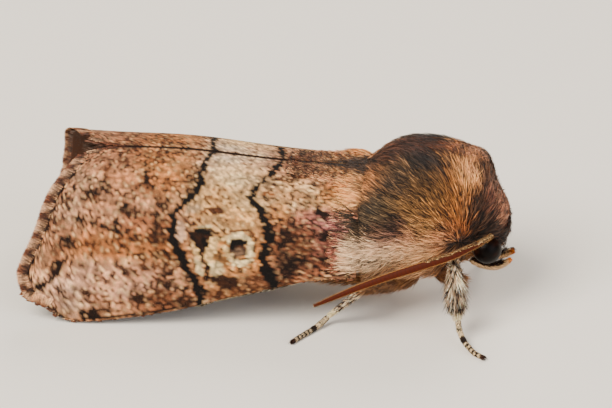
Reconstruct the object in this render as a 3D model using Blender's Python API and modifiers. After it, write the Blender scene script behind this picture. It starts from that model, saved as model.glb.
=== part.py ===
"""A figure of eighty moth (Tethea ocularis) at rest, life size, wings folded like a roof over its back.

Frame: +X towards the head, +Y to the moth's left, +Z up. The origin is the middle of the box round the whole
moth, on the surface it stands on. Sizes are in millimetres until they reach a mesh, which is in metres.
Every form is the outer form of the coat: the skin lies inside it by the depth of the hair.
"""

import math

import bmesh
import bpy
import numpy as np

MM = 0.001
GAP = 0.1  # between neighbouring pieces
LEFT, RIGHT = 1.0, -1.0
SIDES = {"left": LEFT, "right": RIGHT}

# The roof made by the wings: a level ridge, a rounded shoulder and steep sides.
RIDGE_Z = 6.66
RIDGE_ARCH = 0.22
RIDGE_ARCH_X = -4.0
RIDGE_ARCH_LENGTH = 3.2
ROOF_STEEPEST = math.radians(86.0)
ROOF_SHARPNESS = 1.8
ROOF_SPREAD_FRONT = 3.1
ROOF_SPREAD_REAR = 4.36
WING_FRONT_X = 4.35
WING_THICKNESS = 0.5
WING_REAR_X = -10.99
LEFT_LOBE_LAG = 0.45
LOBE_START_X = -6.5
LOBE_LENGTH = 2.6
LOBE_DEPTH = 6.5
LOBE_ROUNDNESS = 0.7

# Fore wing outline in the opened roof: x along the body, q the distance from the ridge over the surface.
FOREWING_DORSUM = [(WING_FRONT_X, 0.06), (-2.0, 0.06), (-6.9, 0.06), (-8.1, 0.42), (-8.85, 0.95)]
FOREWING_TERMEN = [(-8.85, 0.95), (-9.2, 1.9), (-9.85, 3.4), (-10.3, 5.2), (-10.8, 6.5), (WING_REAR_X, 7.35)]
FOREWING_COSTA = [
    (WING_FRONT_X, 5.95), (1.9, 6.42), (-1.25, 7.55), (-4.0, 8.62), (-7.2, 9.24), (-8.7, 9.26),
    (-9.6, 8.78), (-10.6, 8.32), (WING_REAR_X, 7.35),
]
# Hind wing, folded under the fore wing.
HINDWING_INSET = 0.62
HINDWING_DORSUM = [(3.9, 0.7), (-2.0, 0.45), (-6.4, 0.45), (-7.6, 1.0)]
HINDWING_TERMEN = [(-7.6, 1.0), (-8.6, 2.4), (-9.2, 4.4), (-8.9, 6.0)]
HINDWING_COSTA = [(3.9, 5.0), (1.0, 5.9), (-3.5, 7.1), (-7.4, 7.3), (-8.9, 6.0)]
HINDWING_THICKNESS = 0.5
WING_CELLS = (17, 12)
HINDWING_CELLS = (11, 8)

# Body sections: top (x, z), bottom (x, z), half width, height of the widest belt as a fraction from the bottom.
ABDOMEN = [
    ((-5.75, 2.72), (-5.75, 2.28), 0.3, 0.5),
    ((-5.3, 3.3), (-5.35, 1.9), 0.85, 0.5),
    ((-3.6, 4.1), (-3.7, 1.75), 1.35, 0.5),
    ((-0.8, 4.85), (-0.8, 1.8), 1.7, 0.5),
    ((2.2, 5.3), (2.2, 1.95), 1.9, 0.5),
    ((4.34, 5.35), (4.34, 2.15), 1.9, 0.5),
]
THORAX = [
    ((4.45, 6.8), (4.45, 2.45), 3.6, 0.2),
    ((4.95, 7.26), (5.0, 2.15), 3.48, 0.3),
    ((5.5, 7.74), (5.5, 1.95), 3.28, 0.4),
    ((6.35, 8.1), (6.25, 1.82), 3.12, 0.46),
    ((7.5, 8.14), (7.2, 1.9), 3.0, 0.49),
    ((8.3, 8.0), (7.85, 2.15), 2.75, 0.5),
    ((8.85, 7.88), (8.25, 2.4), 2.48, 0.5),
]
COLLAR = [
    ((8.96, 7.87), (8.36, 2.46), 2.42, 0.5),
    ((9.38, 7.8), (8.7, 2.66), 2.3, 0.5),
    ((9.62, 7.6), (8.86, 2.8), 2.12, 0.5),
    ((9.74, 7.22), (8.96, 2.9), 1.88, 0.5),
]
HEAD = [
    ((9.86, 7.0), (9.08, 2.96), 1.62, 0.4),
    ((10.12, 6.3), (9.4, 2.86), 1.5, 0.4),
    ((10.42, 5.66), (9.95, 2.88), 1.34, 0.42),
    ((10.62, 5.16), (10.32, 3.06), 1.02, 0.46),
    ((10.7, 4.8), (10.54, 3.44), 0.64, 0.5),
]
SECTION_POWER = 2.15
LEAST_REACH = 0.2  # keeps the inset of a very flat section finite

# How finely each form is divided.
BODY_RINGS = {"abdomen": 14, "thorax": 17, "collar": 5, "head": 9}
BODY_SIDES = {"abdomen": 20, "thorax": 32, "collar": 24, "head": 24}
SECTION_ROWS = 61
CURVE_STEPS = 24
ROOF_STEPS = 49
EYE_SEGMENTS = 18
EYE_RINGS = 10
TEGULA_RINGS = 5
TEGULA_SPOKES = 20
TUBE_BEVEL_RESOLUTION = 2
PALP_STATIONS = 9
ANTENNA_STATIONS = 15
TARSUS_STATIONS = 9
WELD_DISTANCE = 1e-7  # metres
SHARP_ANGLE = math.radians(40.0)

# Tegulae: hair-covered shoulder plates over the wing roots, let into the side of the thorax.
TEGULA_CENTRE = (0.5, math.radians(28.0))
TEGULA_REACH = (0.42, math.radians(36.0))
TEGULA_BED = 0.5
TEGULA_THICKNESS = 0.5
TEGULA_RIM = 1.08
TEGULA_RIM_END = 1.42

# Head parts.
EYE_RADIUS = 0.68
EYE_CENTRE = (9.98, 1.22, 3.52)
EYE_SOCKET_RADIUS = EYE_RADIUS + GAP
PALP_PATH = [(9.1, 0.5, 2.54), (9.6, 0.56, 2.36), (10.15, 0.6, 2.4), (10.62, 0.6, 2.68), (10.9, 0.58, 3.06)]
PALP_RADII = [0.25, 0.28, 0.3, 0.27, 0.16]
ANTENNA_PATH = [
    (10.28, 1.62, 4.46), (9.86, 2.25, 4.42), (9.3, 2.78, 4.3), (8.6, 3.24, 4.1), (7.3, 3.6, 3.67),
    (6.0, 3.84, 3.2), (4.6, 4.06, 2.62), (3.4, 4.18, 2.02), (2.55, 4.22, 1.57),
]
ANTENNA_RADII = [0.25, 0.25, 0.25, 0.26, 0.27, 0.27, 0.26, 0.25, 0.25]

# Legs: joints from the root outward, and the radius of each segment with its coat. Mirrored to the other side.
LEG_JOINTS = {
    "foreleg": [(7.6, 0.7, 1.62), (8.72, 1.35, 1.72), (8.66, 2.74, 3.5), (8.94, 3.3, 1.06)],
    "midleg": [(6.75, 0.7, 1.42), (5.95, 1.5, 1.42), (4.75, 3.2, 2.1), (3.1, 3.05, 0.5)],
    "hindleg": [(5.3, 0.7, 1.5), (4.45, 1.4, 1.55), (2.2, 2.2, 1.95), (-2.2, 2.35, 0.5)],
}
LEG_SEGMENTS = ("coxa", "femur", "tibia")
LEG_RADII = {"coxa": 0.42, "femur": 0.36, "tibia": 0.36}
TIBIA_RADII = {"foreleg": 0.55, "midleg": 0.34, "hindleg": 0.36}
SEGMENT_TAPER = [0.55, 0.92, 1.0, 0.88, 0.6]
JOINT_CLEARANCE = {"foreleg": 0.42, "midleg": 0.22, "hindleg": 0.22}
TARSUS_PATHS = {
    "foreleg": [
        (8.97, 3.4, 0.95), (9.12, 3.76, 0.66), (9.42, 4.22, 0.38), (9.9, 4.76, 0.2), (10.38, 5.14, 0.19),
    ],
    "midleg": [
        (3.0, 3.1, 0.36), (2.7, 3.5, 0.25), (2.4, 3.95, 0.2), (2.05, 4.5, 0.19), (1.72, 5.08, 0.19),
    ],
    "hindleg": [
        (-2.4, 2.38, 0.42), (-3.0, 2.45, 0.26), (-3.7, 2.54, 0.2), (-4.4, 2.64, 0.19), (-5.1, 2.76, 0.19),
    ],
}
TARSUS_RADIUS = 0.25
TARSUS_TAPER = [0.9, 1.0, 1.0, 1.0, 0.9]
FLOOR_CUTTER_SIZE = 40.0

COLOURS = {
    "abdomen": (0.36, 0.28, 0.21),
    "thorax": (0.24, 0.16, 0.11),
    "collar": (0.16, 0.11, 0.085),
    "head": (0.2, 0.14, 0.11),
    "tegula": (0.34, 0.22, 0.13),
    "eye": (0.02, 0.014, 0.01),
    "palp": (0.55, 0.36, 0.2),
    "antenna": (0.52, 0.2, 0.06),
    "forewing": (0.5, 0.37, 0.27),
    "hindwing": (0.3, 0.24, 0.2),
    "coxa": (0.42, 0.34, 0.27),
    "femur": (0.42, 0.35, 0.29),
    "tibia": (0.5, 0.44, 0.38),
    "tarsus": (0.22, 0.18, 0.15),
}
EYE_ROUGHNESS = 0.15
COAT_ROUGHNESS = 0.85


def clear_scene():
    """Removes every object of the scene that the script starts in."""
    for obj in list(bpy.data.objects):
        bpy.data.objects.remove(obj, do_unlink=True)


def new_collection(name):
    """A new collection, linked to the scene."""
    collection = bpy.data.collections.new(name)
    bpy.context.scene.collection.children.link(collection)
    return collection


def material(name, kind):
    """A plain material for one piece, in the colour of its kind."""
    mat = bpy.data.materials.new(name)
    mat.use_nodes = True
    shader = mat.node_tree.nodes["Principled BSDF"]
    shader.inputs["Base Color"].default_value = (*COLOURS[kind], 1.0)
    shader.inputs["Roughness"].default_value = EYE_ROUGHNESS if kind == "eye" else COAT_ROUGHNESS
    shader.inputs["Metallic"].default_value = 0.0
    return mat


def smooth_path(points, count):
    """Evenly spaced points on a Catmull-Rom curve through the given points, of any dimension."""
    points = np.asarray(points, float)
    padded = np.vstack([2 * points[0] - points[1], points, 2 * points[-1] - points[-2]])
    t = np.linspace(0.0, 1.0, CURVE_STEPS, endpoint=False)[:, None]
    fine = []
    for a, b, c, d in zip(padded, padded[1:], padded[2:], padded[3:]):
        square = (2 * a - 5 * b + 4 * c - d) * t**2
        cube = (3 * b - a - 3 * c + d) * t**3
        fine.append(0.5 * (2 * b + (c - a) * t + square + cube))
    fine = np.vstack(fine + [points[-1:]])
    length = np.concatenate([[0.0], np.cumsum(np.linalg.norm(np.diff(fine, axis=0), axis=1))])
    wanted = np.linspace(0.0, length[-1], count)
    return np.stack([np.interp(wanted, length, column) for column in fine.T], axis=1)


class Moth:
    """Keeps the collections, the parent empty and the way each piece is added."""

    def __init__(self):
        self.parts = new_collection("moth")
        self.cutters = new_collection("cutters")
        self.root = bpy.data.objects.new("moth_root", None)
        self.parts.objects.link(self.root)

    def add(self, obj, kind):
        """Puts a piece in the moth's collection under its empty, with a material of its own."""
        for collection in list(obj.users_collection):
            collection.objects.unlink(obj)
        self.parts.objects.link(obj)
        obj.data.materials.clear()
        obj.data.materials.append(material(obj.name, kind))
        obj.parent = self.root
        if obj.type == "MESH":
            obj.data.shade_smooth()
            obj.data.set_sharp_from_angle(angle=SHARP_ANGLE)
        return obj

    def add_cutter(self, obj):
        """Puts a cutting form in the cutters' collection, hidden from the render."""
        for collection in list(obj.users_collection):
            collection.objects.unlink(obj)
        self.cutters.objects.link(obj)
        obj.hide_render = True
        obj.display_type = "WIRE"
        return obj


def mesh_object(name, points, faces, origin=(0.0, 0.0, 0.0)):
    """A mesh object from points in millimetres, with its origin at the given point."""
    mesh = bpy.data.meshes.new(name)
    origin = np.asarray(origin, float)
    mesh.from_pydata(((np.asarray(points) - origin) * MM).tolist(), [], faces)
    form = bmesh.new()
    form.from_mesh(mesh)
    bmesh.ops.recalc_face_normals(form, faces=form.faces)
    form.to_mesh(mesh)
    form.free()
    obj = bpy.data.objects.new(name, mesh)
    obj.location = origin * MM
    return obj


def boolean_cut(obj, cutter):
    """Cuts the form of one object out of another."""
    cut = obj.modifiers.new("cut", "BOOLEAN")
    cut.operation = "DIFFERENCE"
    cut.solver = "EXACT"
    cut.object = cutter


# ---- body -----------------------------------------------------------------------------------------------------


def power(value, exponent):
    """A power that keeps the sign of its base."""
    return np.sign(value) * np.abs(value) ** exponent


class Loft:
    """A smooth body through oval sections that stand across it, each with its own slope."""

    def __init__(self, sections):
        rows = [(*top, *bottom, width, belt) for top, bottom, width, belt in sections]
        self.rows = smooth_path(np.array(rows), SECTION_ROWS)

    def point(self, along, angle, inset=0.0):
        """The point at a fraction along the body; angle 0 is the left side and a quarter turn is the top."""
        along, angle, inset = np.broadcast_arrays(along, angle, inset)
        steps = np.linspace(0.0, 1.0, len(self.rows))
        top_x, top_z, bottom_x, bottom_z, width, belt = (np.interp(along, steps, col) for col in self.rows.T)
        belt_x = bottom_x + (top_x - bottom_x) * belt
        belt_z = bottom_z + (top_z - bottom_z) * belt
        lift = power(np.sin(angle), 2.0 / SECTION_POWER)
        end_x = np.where(lift > 0, top_x, bottom_x)
        end_z = np.where(lift > 0, top_z, bottom_z)
        reach = np.abs(lift)
        half = width * power(np.cos(angle), 2.0 / SECTION_POWER)
        out = np.stack([reach * (end_x - belt_x), half, reach * (end_z - belt_z)], axis=-1)
        length = np.linalg.norm(out, axis=-1, keepdims=True)
        out = out * (1.0 - inset[..., None] / np.maximum(length, LEAST_REACH))
        return out + np.stack([belt_x, np.zeros_like(belt_x), belt_z], axis=-1)

    def solid(self, name, inset=None):
        """The closed body as a mesh object, with the rings and sides of its name."""
        rings, sides = BODY_RINGS[name], BODY_SIDES[name]
        along, angle = np.meshgrid(
            np.linspace(0.0, 1.0, rings), np.arange(sides) * math.tau / sides, indexing="ij")
        depth = inset(along, angle) if inset else 0.0
        points = self.point(along, angle, depth).reshape(-1, 3)
        faces = []
        for ring in range(rings - 1):
            for side in range(sides):
                here, there = ring * sides, (ring + 1) * sides
                after = (side + 1) % sides
                faces.append((here + side, here + after, there + after, there + side))
        faces.append(tuple(range(sides))[::-1])
        faces.append(tuple(range((rings - 1) * sides, rings * sides)))
        return mesh_object(name, points, faces, origin=points.mean(axis=0))


def tegula_distance(along, angle):
    """How far a place on the thorax lies from the middle of the nearer tegula, 1 at the plate's edge."""
    side_angle = np.arctan2(np.sin(angle), np.abs(np.cos(angle)))
    forward = (along - TEGULA_CENTRE[0]) / TEGULA_REACH[0]
    upward = (side_angle - TEGULA_CENTRE[1]) / TEGULA_REACH[1]
    return np.hypot(forward, upward)


def tegula_bed(along, angle):
    """Depth of the bed that the tegula lies in: full under the plate, fading out beyond its edge."""
    fade = (TEGULA_RIM_END - tegula_distance(along, angle)) / (TEGULA_RIM_END - TEGULA_RIM)
    fade = np.clip(fade, 0.0, 1.0)
    return TEGULA_BED * fade * fade * (3.0 - 2.0 * fade)


def add_solidify(obj, thickness, offset):
    """Thickens an open surface by so many millimetres, to the side that the offset names."""
    shell = obj.modifiers.new("thickness", "SOLIDIFY")
    shell.thickness = thickness * MM
    shell.offset = offset
    shell.use_even_offset = True


def add_tegula(moth, thorax, side_name, side):
    """A shield-shaped plate that follows the thorax, from its bed outward."""
    rings, spokes = TEGULA_RINGS, TEGULA_SPOKES
    turn = np.arange(spokes) * math.tau / spokes
    points = [thorax.point(*TEGULA_CENTRE, TEGULA_BED - GAP)]
    for ring in range(1, rings + 1):
        along = TEGULA_CENTRE[0] + TEGULA_REACH[0] * ring / rings * np.cos(turn)
        angle = TEGULA_CENTRE[1] + TEGULA_REACH[1] * ring / rings * np.sin(turn)
        points.extend(thorax.point(along, angle, TEGULA_BED - GAP))
    points = np.array(points) * (1.0, side, 1.0)
    faces = [(0, 1 + k, 1 + (k + 1) % spokes) for k in range(spokes)]
    for ring in range(rings - 1):
        inner, outer = 1 + ring * spokes, 1 + (ring + 1) * spokes
        for k in range(spokes):
            after = (k + 1) % spokes
            faces.append((inner + k, outer + k, outer + after, inner + after))
    if side == LEFT:
        faces = [face[::-1] for face in faces]
    mesh = bpy.data.meshes.new(f"tegula_{side_name}")
    mesh.from_pydata(((points - points[0]) * MM).tolist(), [], faces)
    obj = bpy.data.objects.new(f"tegula_{side_name}", mesh)
    obj.location = points[0] * MM
    add_solidify(obj, TEGULA_THICKNESS, 1.0)
    return moth.add(obj, "tegula")


def add_body(moth):
    """Adds abdomen, thorax, collar and head, and the tegulae and eyes let into their sides."""
    moth.add(Loft(ABDOMEN).solid("abdomen"), "abdomen")
    thorax = Loft(THORAX)
    moth.add(thorax.solid("thorax", tegula_bed), "thorax")
    moth.add(Loft(COLLAR).solid("collar"), "collar")
    head = moth.add(Loft(HEAD).solid("head"), "head")
    for side_name, side in SIDES.items():
        add_tegula(moth, thorax, side_name, side)
        boolean_cut(head, add_eye(moth, side_name, side))


def ball(name, radius, side):
    """A ball round the centre of the eye on the given side."""
    centre = tuple(value * MM * sign for value, sign in zip(EYE_CENTRE, (1.0, side, 1.0)))
    bpy.ops.mesh.primitive_uv_sphere_add(
        segments=EYE_SEGMENTS, ring_count=EYE_RINGS, radius=radius * MM, location=centre)
    obj = bpy.context.object
    obj.name = name
    return obj


def add_eye(moth, side_name, side):
    """A globe let into the side of the head; returns the ball that cuts its socket."""
    moth.add(ball(f"eye_{side_name}", EYE_RADIUS, side), "eye")
    return moth.add_cutter(ball(f"socket_cutter_{side_name}", EYE_SOCKET_RADIUS, side))


# ---- tubes: palps, antennae and legs --------------------------------------------------------------------------


def tube(name, path, radii, side, points=None):
    """A round tube through the path, its radius following the list, as a mesh with its caps welded on."""
    path = np.asarray(path, float) * (1.0, side, 1.0)
    count = points or len(path)
    stations = smooth_path(np.column_stack([path, np.asarray(radii)]), count)
    origin = stations[0, :3]
    curve = bpy.data.curves.new(name, "CURVE")
    curve.dimensions = "3D"
    curve.bevel_depth = MM
    curve.bevel_resolution = TUBE_BEVEL_RESOLUTION
    curve.use_fill_caps = True
    spline = curve.splines.new("POLY")
    spline.points.add(count - 1)
    for point, (x, y, z, radius) in zip(spline.points, stations):
        point.co = (*((np.array([x, y, z]) - origin) * MM), 1.0)
        point.radius = radius
    obj = bpy.data.objects.new(f"{name}_curve", curve)
    obj.location = origin * MM
    bpy.context.scene.collection.objects.link(obj)
    bpy.context.view_layer.update()
    evaluated = obj.evaluated_get(bpy.context.evaluated_depsgraph_get())
    mesh = bpy.data.meshes.new_from_object(evaluated)
    solid = bpy.data.objects.new(name, mesh)
    solid.matrix_world = obj.matrix_world
    bpy.data.objects.remove(obj, do_unlink=True)
    form = bmesh.new()
    form.from_mesh(mesh)
    bmesh.ops.remove_doubles(form, verts=form.verts, dist=WELD_DISTANCE)
    bmesh.ops.recalc_face_normals(form, faces=form.faces)
    form.to_mesh(mesh)
    form.free()
    mesh.name = name
    return solid


def add_feelers(moth):
    """Adds the palps and the antennae."""
    for side_name, side in SIDES.items():
        palp = tube(f"palp_{side_name}", PALP_PATH, PALP_RADII, side, PALP_STATIONS)
        moth.add(palp, "palp")
        antenna = tube(f"antenna_{side_name}", ANTENNA_PATH, ANTENNA_RADII, side, ANTENNA_STATIONS)
        moth.add(antenna, "antenna")


def segment_path(start, end, clearance):
    """Points from one joint to the next, one for each value of the taper, drawn in by the clearance."""
    start, end = np.asarray(start, float), np.asarray(end, float)
    step = (end - start) / np.linalg.norm(end - start) * clearance
    return np.linspace(start + step, end - step, len(SEGMENT_TAPER))


def floor_cutter(moth):
    """A block under the surface the moth stands on: it cuts the flats that the feet stand on."""
    bpy.ops.mesh.primitive_cube_add(size=1.0, location=(0.0, 0.0, -0.5 * FLOOR_CUTTER_SIZE * MM))
    block = bpy.context.object
    block.name = "floor_cutter"
    block.scale = (FLOOR_CUTTER_SIZE * MM,) * 3
    bpy.ops.object.transform_apply(location=False, rotation=False, scale=True)
    return moth.add_cutter(block)


def add_legs(moth):
    """Adds the four segments of each of the six legs, the last one flat where it stands."""
    floor = floor_cutter(moth)
    for leg, joints in LEG_JOINTS.items():
        for side_name, side in SIDES.items():
            for segment, start, end in zip(LEG_SEGMENTS, joints, joints[1:]):
                radius = TIBIA_RADII[leg] if segment == "tibia" else LEG_RADII[segment]
                radii = [radius * part for part in SEGMENT_TAPER]
                path = segment_path(start, end, JOINT_CLEARANCE[leg])
                moth.add(tube(f"{leg}_{side_name}_{segment}", path, radii, side), segment)
            radii = [TARSUS_RADIUS * part for part in TARSUS_TAPER]
            tarsus = tube(f"{leg}_{side_name}_tarsus", TARSUS_PATHS[leg], radii, side, TARSUS_STATIONS)
            boolean_cut(moth.add(tarsus, "tarsus"), floor)


# ---- wings ----------------------------------------------------------------------------------------------------


def ridge_height(x):
    """Height of the roof's ridge at x."""
    return RIDGE_Z + RIDGE_ARCH * np.exp(-(((x - RIDGE_ARCH_X) / RIDGE_ARCH_LENGTH) ** 2))


def lobe_lag(x, q, side):
    """How far the left wing's rear inner lobe lies behind the right one's."""
    if side == RIGHT:
        return 0.0
    rear = np.clip((LOBE_START_X - x) / LOBE_LENGTH, 0.0, 1.0)
    down = np.clip(q / LOBE_DEPTH, 0.0, 1.0)
    return LEFT_LOBE_LAG * rear**2 * np.sin(math.pi * down) ** LOBE_ROUNDNESS


def roof(x, q, side, inset=0.0):
    """The roof's surface at x, a distance q down from the ridge, drawn in along its normal by the inset."""
    x, q = np.broadcast_arrays(np.asarray(x, float), np.asarray(q, float))
    share = np.clip((WING_FRONT_X - x) / (WING_FRONT_X - WING_REAR_X), 0.0, 1.0)
    spread = ROOF_SPREAD_FRONT + (ROOF_SPREAD_REAR - ROOF_SPREAD_FRONT) * share
    steps = q[..., None] * np.linspace(0.0, 1.0, ROOF_STEPS)
    slope = ROOF_STEEPEST * (1.0 - np.exp(-((steps / spread[..., None]) ** ROOF_SHARPNESS)))
    across = np.trapz(np.cos(slope), steps, axis=-1)
    down = np.trapz(np.sin(slope), steps, axis=-1)
    last = slope[..., -1]
    across = across - inset * np.sin(last)
    height = ridge_height(x) - down - inset * np.cos(last)
    return np.stack([x - lobe_lag(x, q, side), side * across, height], axis=-1)


def patch(dorsum, termen, costa, cells):
    """A grid filling the outline between four edges, root to margin by ridge to costa (a Coons patch)."""
    rows, columns = cells
    upper = smooth_path(dorsum, rows + 1)
    lower = smooth_path(costa, rows + 1)
    rear = smooth_path(termen, columns + 1)
    front = np.linspace(upper[0], lower[0], columns + 1)
    s = np.linspace(0.0, 1.0, rows + 1)[:, None, None]
    t = np.linspace(0.0, 1.0, columns + 1)[None, :, None]
    sides = (1 - t) * upper[:, None] + t * lower[:, None] + (1 - s) * front[None] + s * rear[None]
    corners = (1 - s) * ((1 - t) * upper[0] + t * lower[0]) + s * ((1 - t) * upper[-1] + t * lower[-1])
    return sides - corners


def add_wing(moth, name, side, outline, cells, inset, thickness):
    """A wing as a shell that hangs so far inside the roof and is that thick."""
    rows, columns = cells
    flat = patch(*outline, cells)
    points = roof(flat[..., 0], flat[..., 1], side, inset).reshape(-1, 3)
    faces = []
    for row in range(rows):
        for column in range(columns):
            first = row * (columns + 1) + column
            face = (first, first + 1, first + columns + 2, first + columns + 1)
            faces.append(face if side == LEFT else face[::-1])
    mesh = bpy.data.meshes.new(name)
    mesh.from_pydata(((points - points[0]) * MM).tolist(), [], faces)
    obj = bpy.data.objects.new(name, mesh)
    obj.location = points[0] * MM
    add_solidify(obj, thickness, -1.0)
    return moth.add(obj, name.split("_")[0])


def add_wings(moth):
    """Adds the fore wings and the hind wings folded under them."""
    fore = (FOREWING_DORSUM, FOREWING_TERMEN, FOREWING_COSTA)
    hind = (HINDWING_DORSUM, HINDWING_TERMEN, HINDWING_COSTA)
    for side_name, side in SIDES.items():
        add_wing(moth, f"forewing_{side_name}", side, fore, WING_CELLS, 0.0, WING_THICKNESS)
        name = f"hindwing_{side_name}"
        add_wing(moth, name, side, hind, HINDWING_CELLS, HINDWING_INSET, HINDWING_THICKNESS)


def main():
    """Builds the whole moth."""
    clear_scene()
    moth = Moth()
    add_body(moth)
    add_feelers(moth)
    add_legs(moth)
    add_wings(moth)


main()
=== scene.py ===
"""A figure of eighty moth (Tethea ocularis) at rest, life size: skin, fur, scales, eyes, feelers and feet.

The moth's own frame is used throughout: +X towards the head, +Y its left, +Z up, sizes in millimetres. A
place on a wing is given by x and by q, the distance over the wing from the ridge where the fore wings meet.
"""

from __future__ import annotations

import logging
import math
from dataclasses import dataclass, field
from enum import Enum
from typing import Callable, Iterator, Sequence

import bpy
import numpy as np
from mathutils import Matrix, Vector
from mathutils.bvhtree import BVHTree

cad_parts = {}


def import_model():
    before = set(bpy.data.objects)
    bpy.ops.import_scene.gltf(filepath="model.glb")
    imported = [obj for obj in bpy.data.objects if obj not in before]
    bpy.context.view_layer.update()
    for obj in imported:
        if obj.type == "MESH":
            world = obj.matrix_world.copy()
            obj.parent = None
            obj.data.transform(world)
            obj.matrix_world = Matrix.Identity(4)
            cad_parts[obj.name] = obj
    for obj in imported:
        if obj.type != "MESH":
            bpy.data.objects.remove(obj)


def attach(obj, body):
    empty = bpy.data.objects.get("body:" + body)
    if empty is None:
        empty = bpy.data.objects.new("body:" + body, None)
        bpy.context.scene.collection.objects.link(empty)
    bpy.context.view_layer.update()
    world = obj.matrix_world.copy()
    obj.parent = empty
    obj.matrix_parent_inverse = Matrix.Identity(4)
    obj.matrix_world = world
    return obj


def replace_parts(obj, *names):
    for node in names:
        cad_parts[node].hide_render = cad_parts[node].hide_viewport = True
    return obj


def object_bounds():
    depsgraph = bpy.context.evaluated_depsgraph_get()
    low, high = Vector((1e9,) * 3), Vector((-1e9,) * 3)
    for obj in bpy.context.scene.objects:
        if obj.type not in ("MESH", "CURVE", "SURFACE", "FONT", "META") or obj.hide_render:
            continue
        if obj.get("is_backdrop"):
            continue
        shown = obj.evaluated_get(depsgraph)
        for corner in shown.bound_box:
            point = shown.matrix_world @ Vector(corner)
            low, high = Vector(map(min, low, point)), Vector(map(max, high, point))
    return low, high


LOG = logging.getLogger("moth")
Array = np.ndarray
MM = 0.001
BODY = "root"
MARKS = "Marks"
BAKE_MAP = "OFBake"
PATCH = 0.003
MAP_EDGE, MAP_SPAN = 0.03, 0.94
RICHNESS, DEPTH = 1.22, 1.3
SPAN_STEPS = 24


class Side(Enum):
    """The two sides of the moth, with the sign of their y."""

    LEFT = 1.0
    RIGHT = -1.0

    @property
    def label(self) -> str:
        """The side's word in the names of nodes and pieces."""
        return self.name.lower()


# ---- numbers and noise ----


def ramp(value: Array) -> Array:
    """Eases a value from 0 to 1 and holds it beyond both ends."""
    t = np.clip(value, 0.0, 1.0)
    return t * t * (3.0 - 2.0 * t)


def unit(vectors: Array) -> Array:
    """Scales vectors to length 1."""
    return vectors / np.maximum(np.linalg.norm(vectors, axis=-1, keepdims=True), 1e-9)


def laid(vectors: Array, normal: Array) -> Array:
    """Unit vectors turned flat on to surfaces with the given unit normals."""
    return unit(vectors - np.sum(vectors * normal, axis=1, keepdims=True) * normal)


def rolled(side: Array, up: Array, roll: Array) -> Array:
    """Turns one unit vector towards another, square to it, by an angle."""
    return side * np.cos(roll) + up * np.sin(roll)


def unwrapped(along: Array, turn: Array) -> Array:
    """The places on a bake map for fractions along a form and turns around it."""
    return np.stack([MAP_EDGE + MAP_SPAN * along, MAP_EDGE + MAP_SPAN * (turn / math.tau % 1.0)], axis=-1)


def lattice(ix: Array, iy: Array, seed: int) -> Array:
    """A repeatable random number in 0 to 1 for each whole-numbered place.

    Args:
        ix: Whole numbers along the first axis.
        iy: Whole numbers along the second axis.
        seed: Picks one field of numbers.

    Returns:
        The random numbers, in the shape of the places.
    """
    code = (ix.astype(np.int64) * 374761393 + iy.astype(np.int64) * 668265263 + seed * 974711) & 0xFFFFFFFF
    code = ((code ^ (code >> 13)) * 1274126177) & 0xFFFFFFFF
    code = ((code ^ (code >> 15)) * 2246822519) & 0xFFFFFFFF
    return ((code ^ (code >> 16)) & 0xFFFFF) / float(0xFFFFF)


def noise(x: Array, y: Array, seed: int, octaves: int = 3) -> Array:
    """Smooth noise in 0 to 1 over a plane, finer and weaker with each octave.

    Args:
        x: Places along the first axis, in cells.
        y: Places along the second axis, in cells.
        seed: Picks one field of noise.
        octaves: How many layers are added.

    Returns:
        The noise at each place.
    """
    total, weight = np.zeros(np.broadcast(x, y).shape), 0.0
    for octave in range(octaves):
        u, v, part = x * 2**octave, y * 2**octave, 0.5**octave
        ix, iy = np.floor(u), np.floor(v)
        fx, fy = ramp(u - ix), ramp(v - iy)
        low = lattice(ix, iy, seed + octave) * (1 - fx) + lattice(ix + 1, iy, seed + octave) * fx
        high = lattice(ix, iy + 1, seed + octave) * (1 - fx) + lattice(ix + 1, iy + 1, seed + octave) * fx
        total += part * (low * (1 - fy) + high * fy)
        weight += part
    return total / weight


def smooth_path(points: Sequence, count: int) -> Array:
    """Evenly spaced points on a Catmull-Rom curve through the given points, of any dimension.

    Args:
        points: The points to pass through.
        count: How many points to return.

    Returns:
        An array of count points.
    """
    given = np.asarray(points, float)
    padded = np.vstack([2 * given[0] - given[1], given, 2 * given[-1] - given[-2]])
    t = np.linspace(0.0, 1.0, SPAN_STEPS, endpoint=False)[:, None]
    fine = [
        0.5 * (2 * b + (c - a) * t + (2 * a - 5 * b + 4 * c - d) * t**2 + (3 * b - a - 3 * c + d) * t**3)
        for a, b, c, d in zip(padded, padded[1:], padded[2:], padded[3:])
    ]
    track = np.vstack([*fine, given[-1:]])
    run = np.concatenate([[0.0], np.cumsum(np.linalg.norm(np.diff(track, axis=0), axis=1))])
    wanted = np.linspace(0.0, run[-1], count)
    return np.stack([np.interp(wanted, run, column) for column in track.T], axis=1)


# ---- colour and finish ----


def rgb(code: str) -> Array:
    """The three parts of a display colour such as "b98e6c", each in 0 to 1."""
    return np.array([int(code[i : i + 2], 16) / 255.0 for i in (0, 2, 4)])


def mix(low: Array, high: Array, share: Array) -> Array:
    """Blends from one colour to another by a share for each place."""
    return low + (high - low) * share[..., None]


def linear(colour: Array) -> Array:
    """Turns display colours into the linear colours that materials use."""
    colour = np.clip(colour, 0.0, 1.0)
    return np.where(colour <= 0.04045, colour / 12.92, ((colour + 0.055) / 1.055) ** 2.4)


def pigment(colour: Array) -> Array:
    """Deepens display colours: a coat scatters light between its hairs and looks paler than its pigment.

    Args:
        colour: The display colours.

    Returns:
        Their linear pigments.
    """
    colour = colour / np.maximum(colour.max(axis=-1, keepdims=True), 1.0)
    grey = colour.mean(axis=-1, keepdims=True)
    return linear(grey + RICHNESS * (colour - grey)) ** DEPTH


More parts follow.
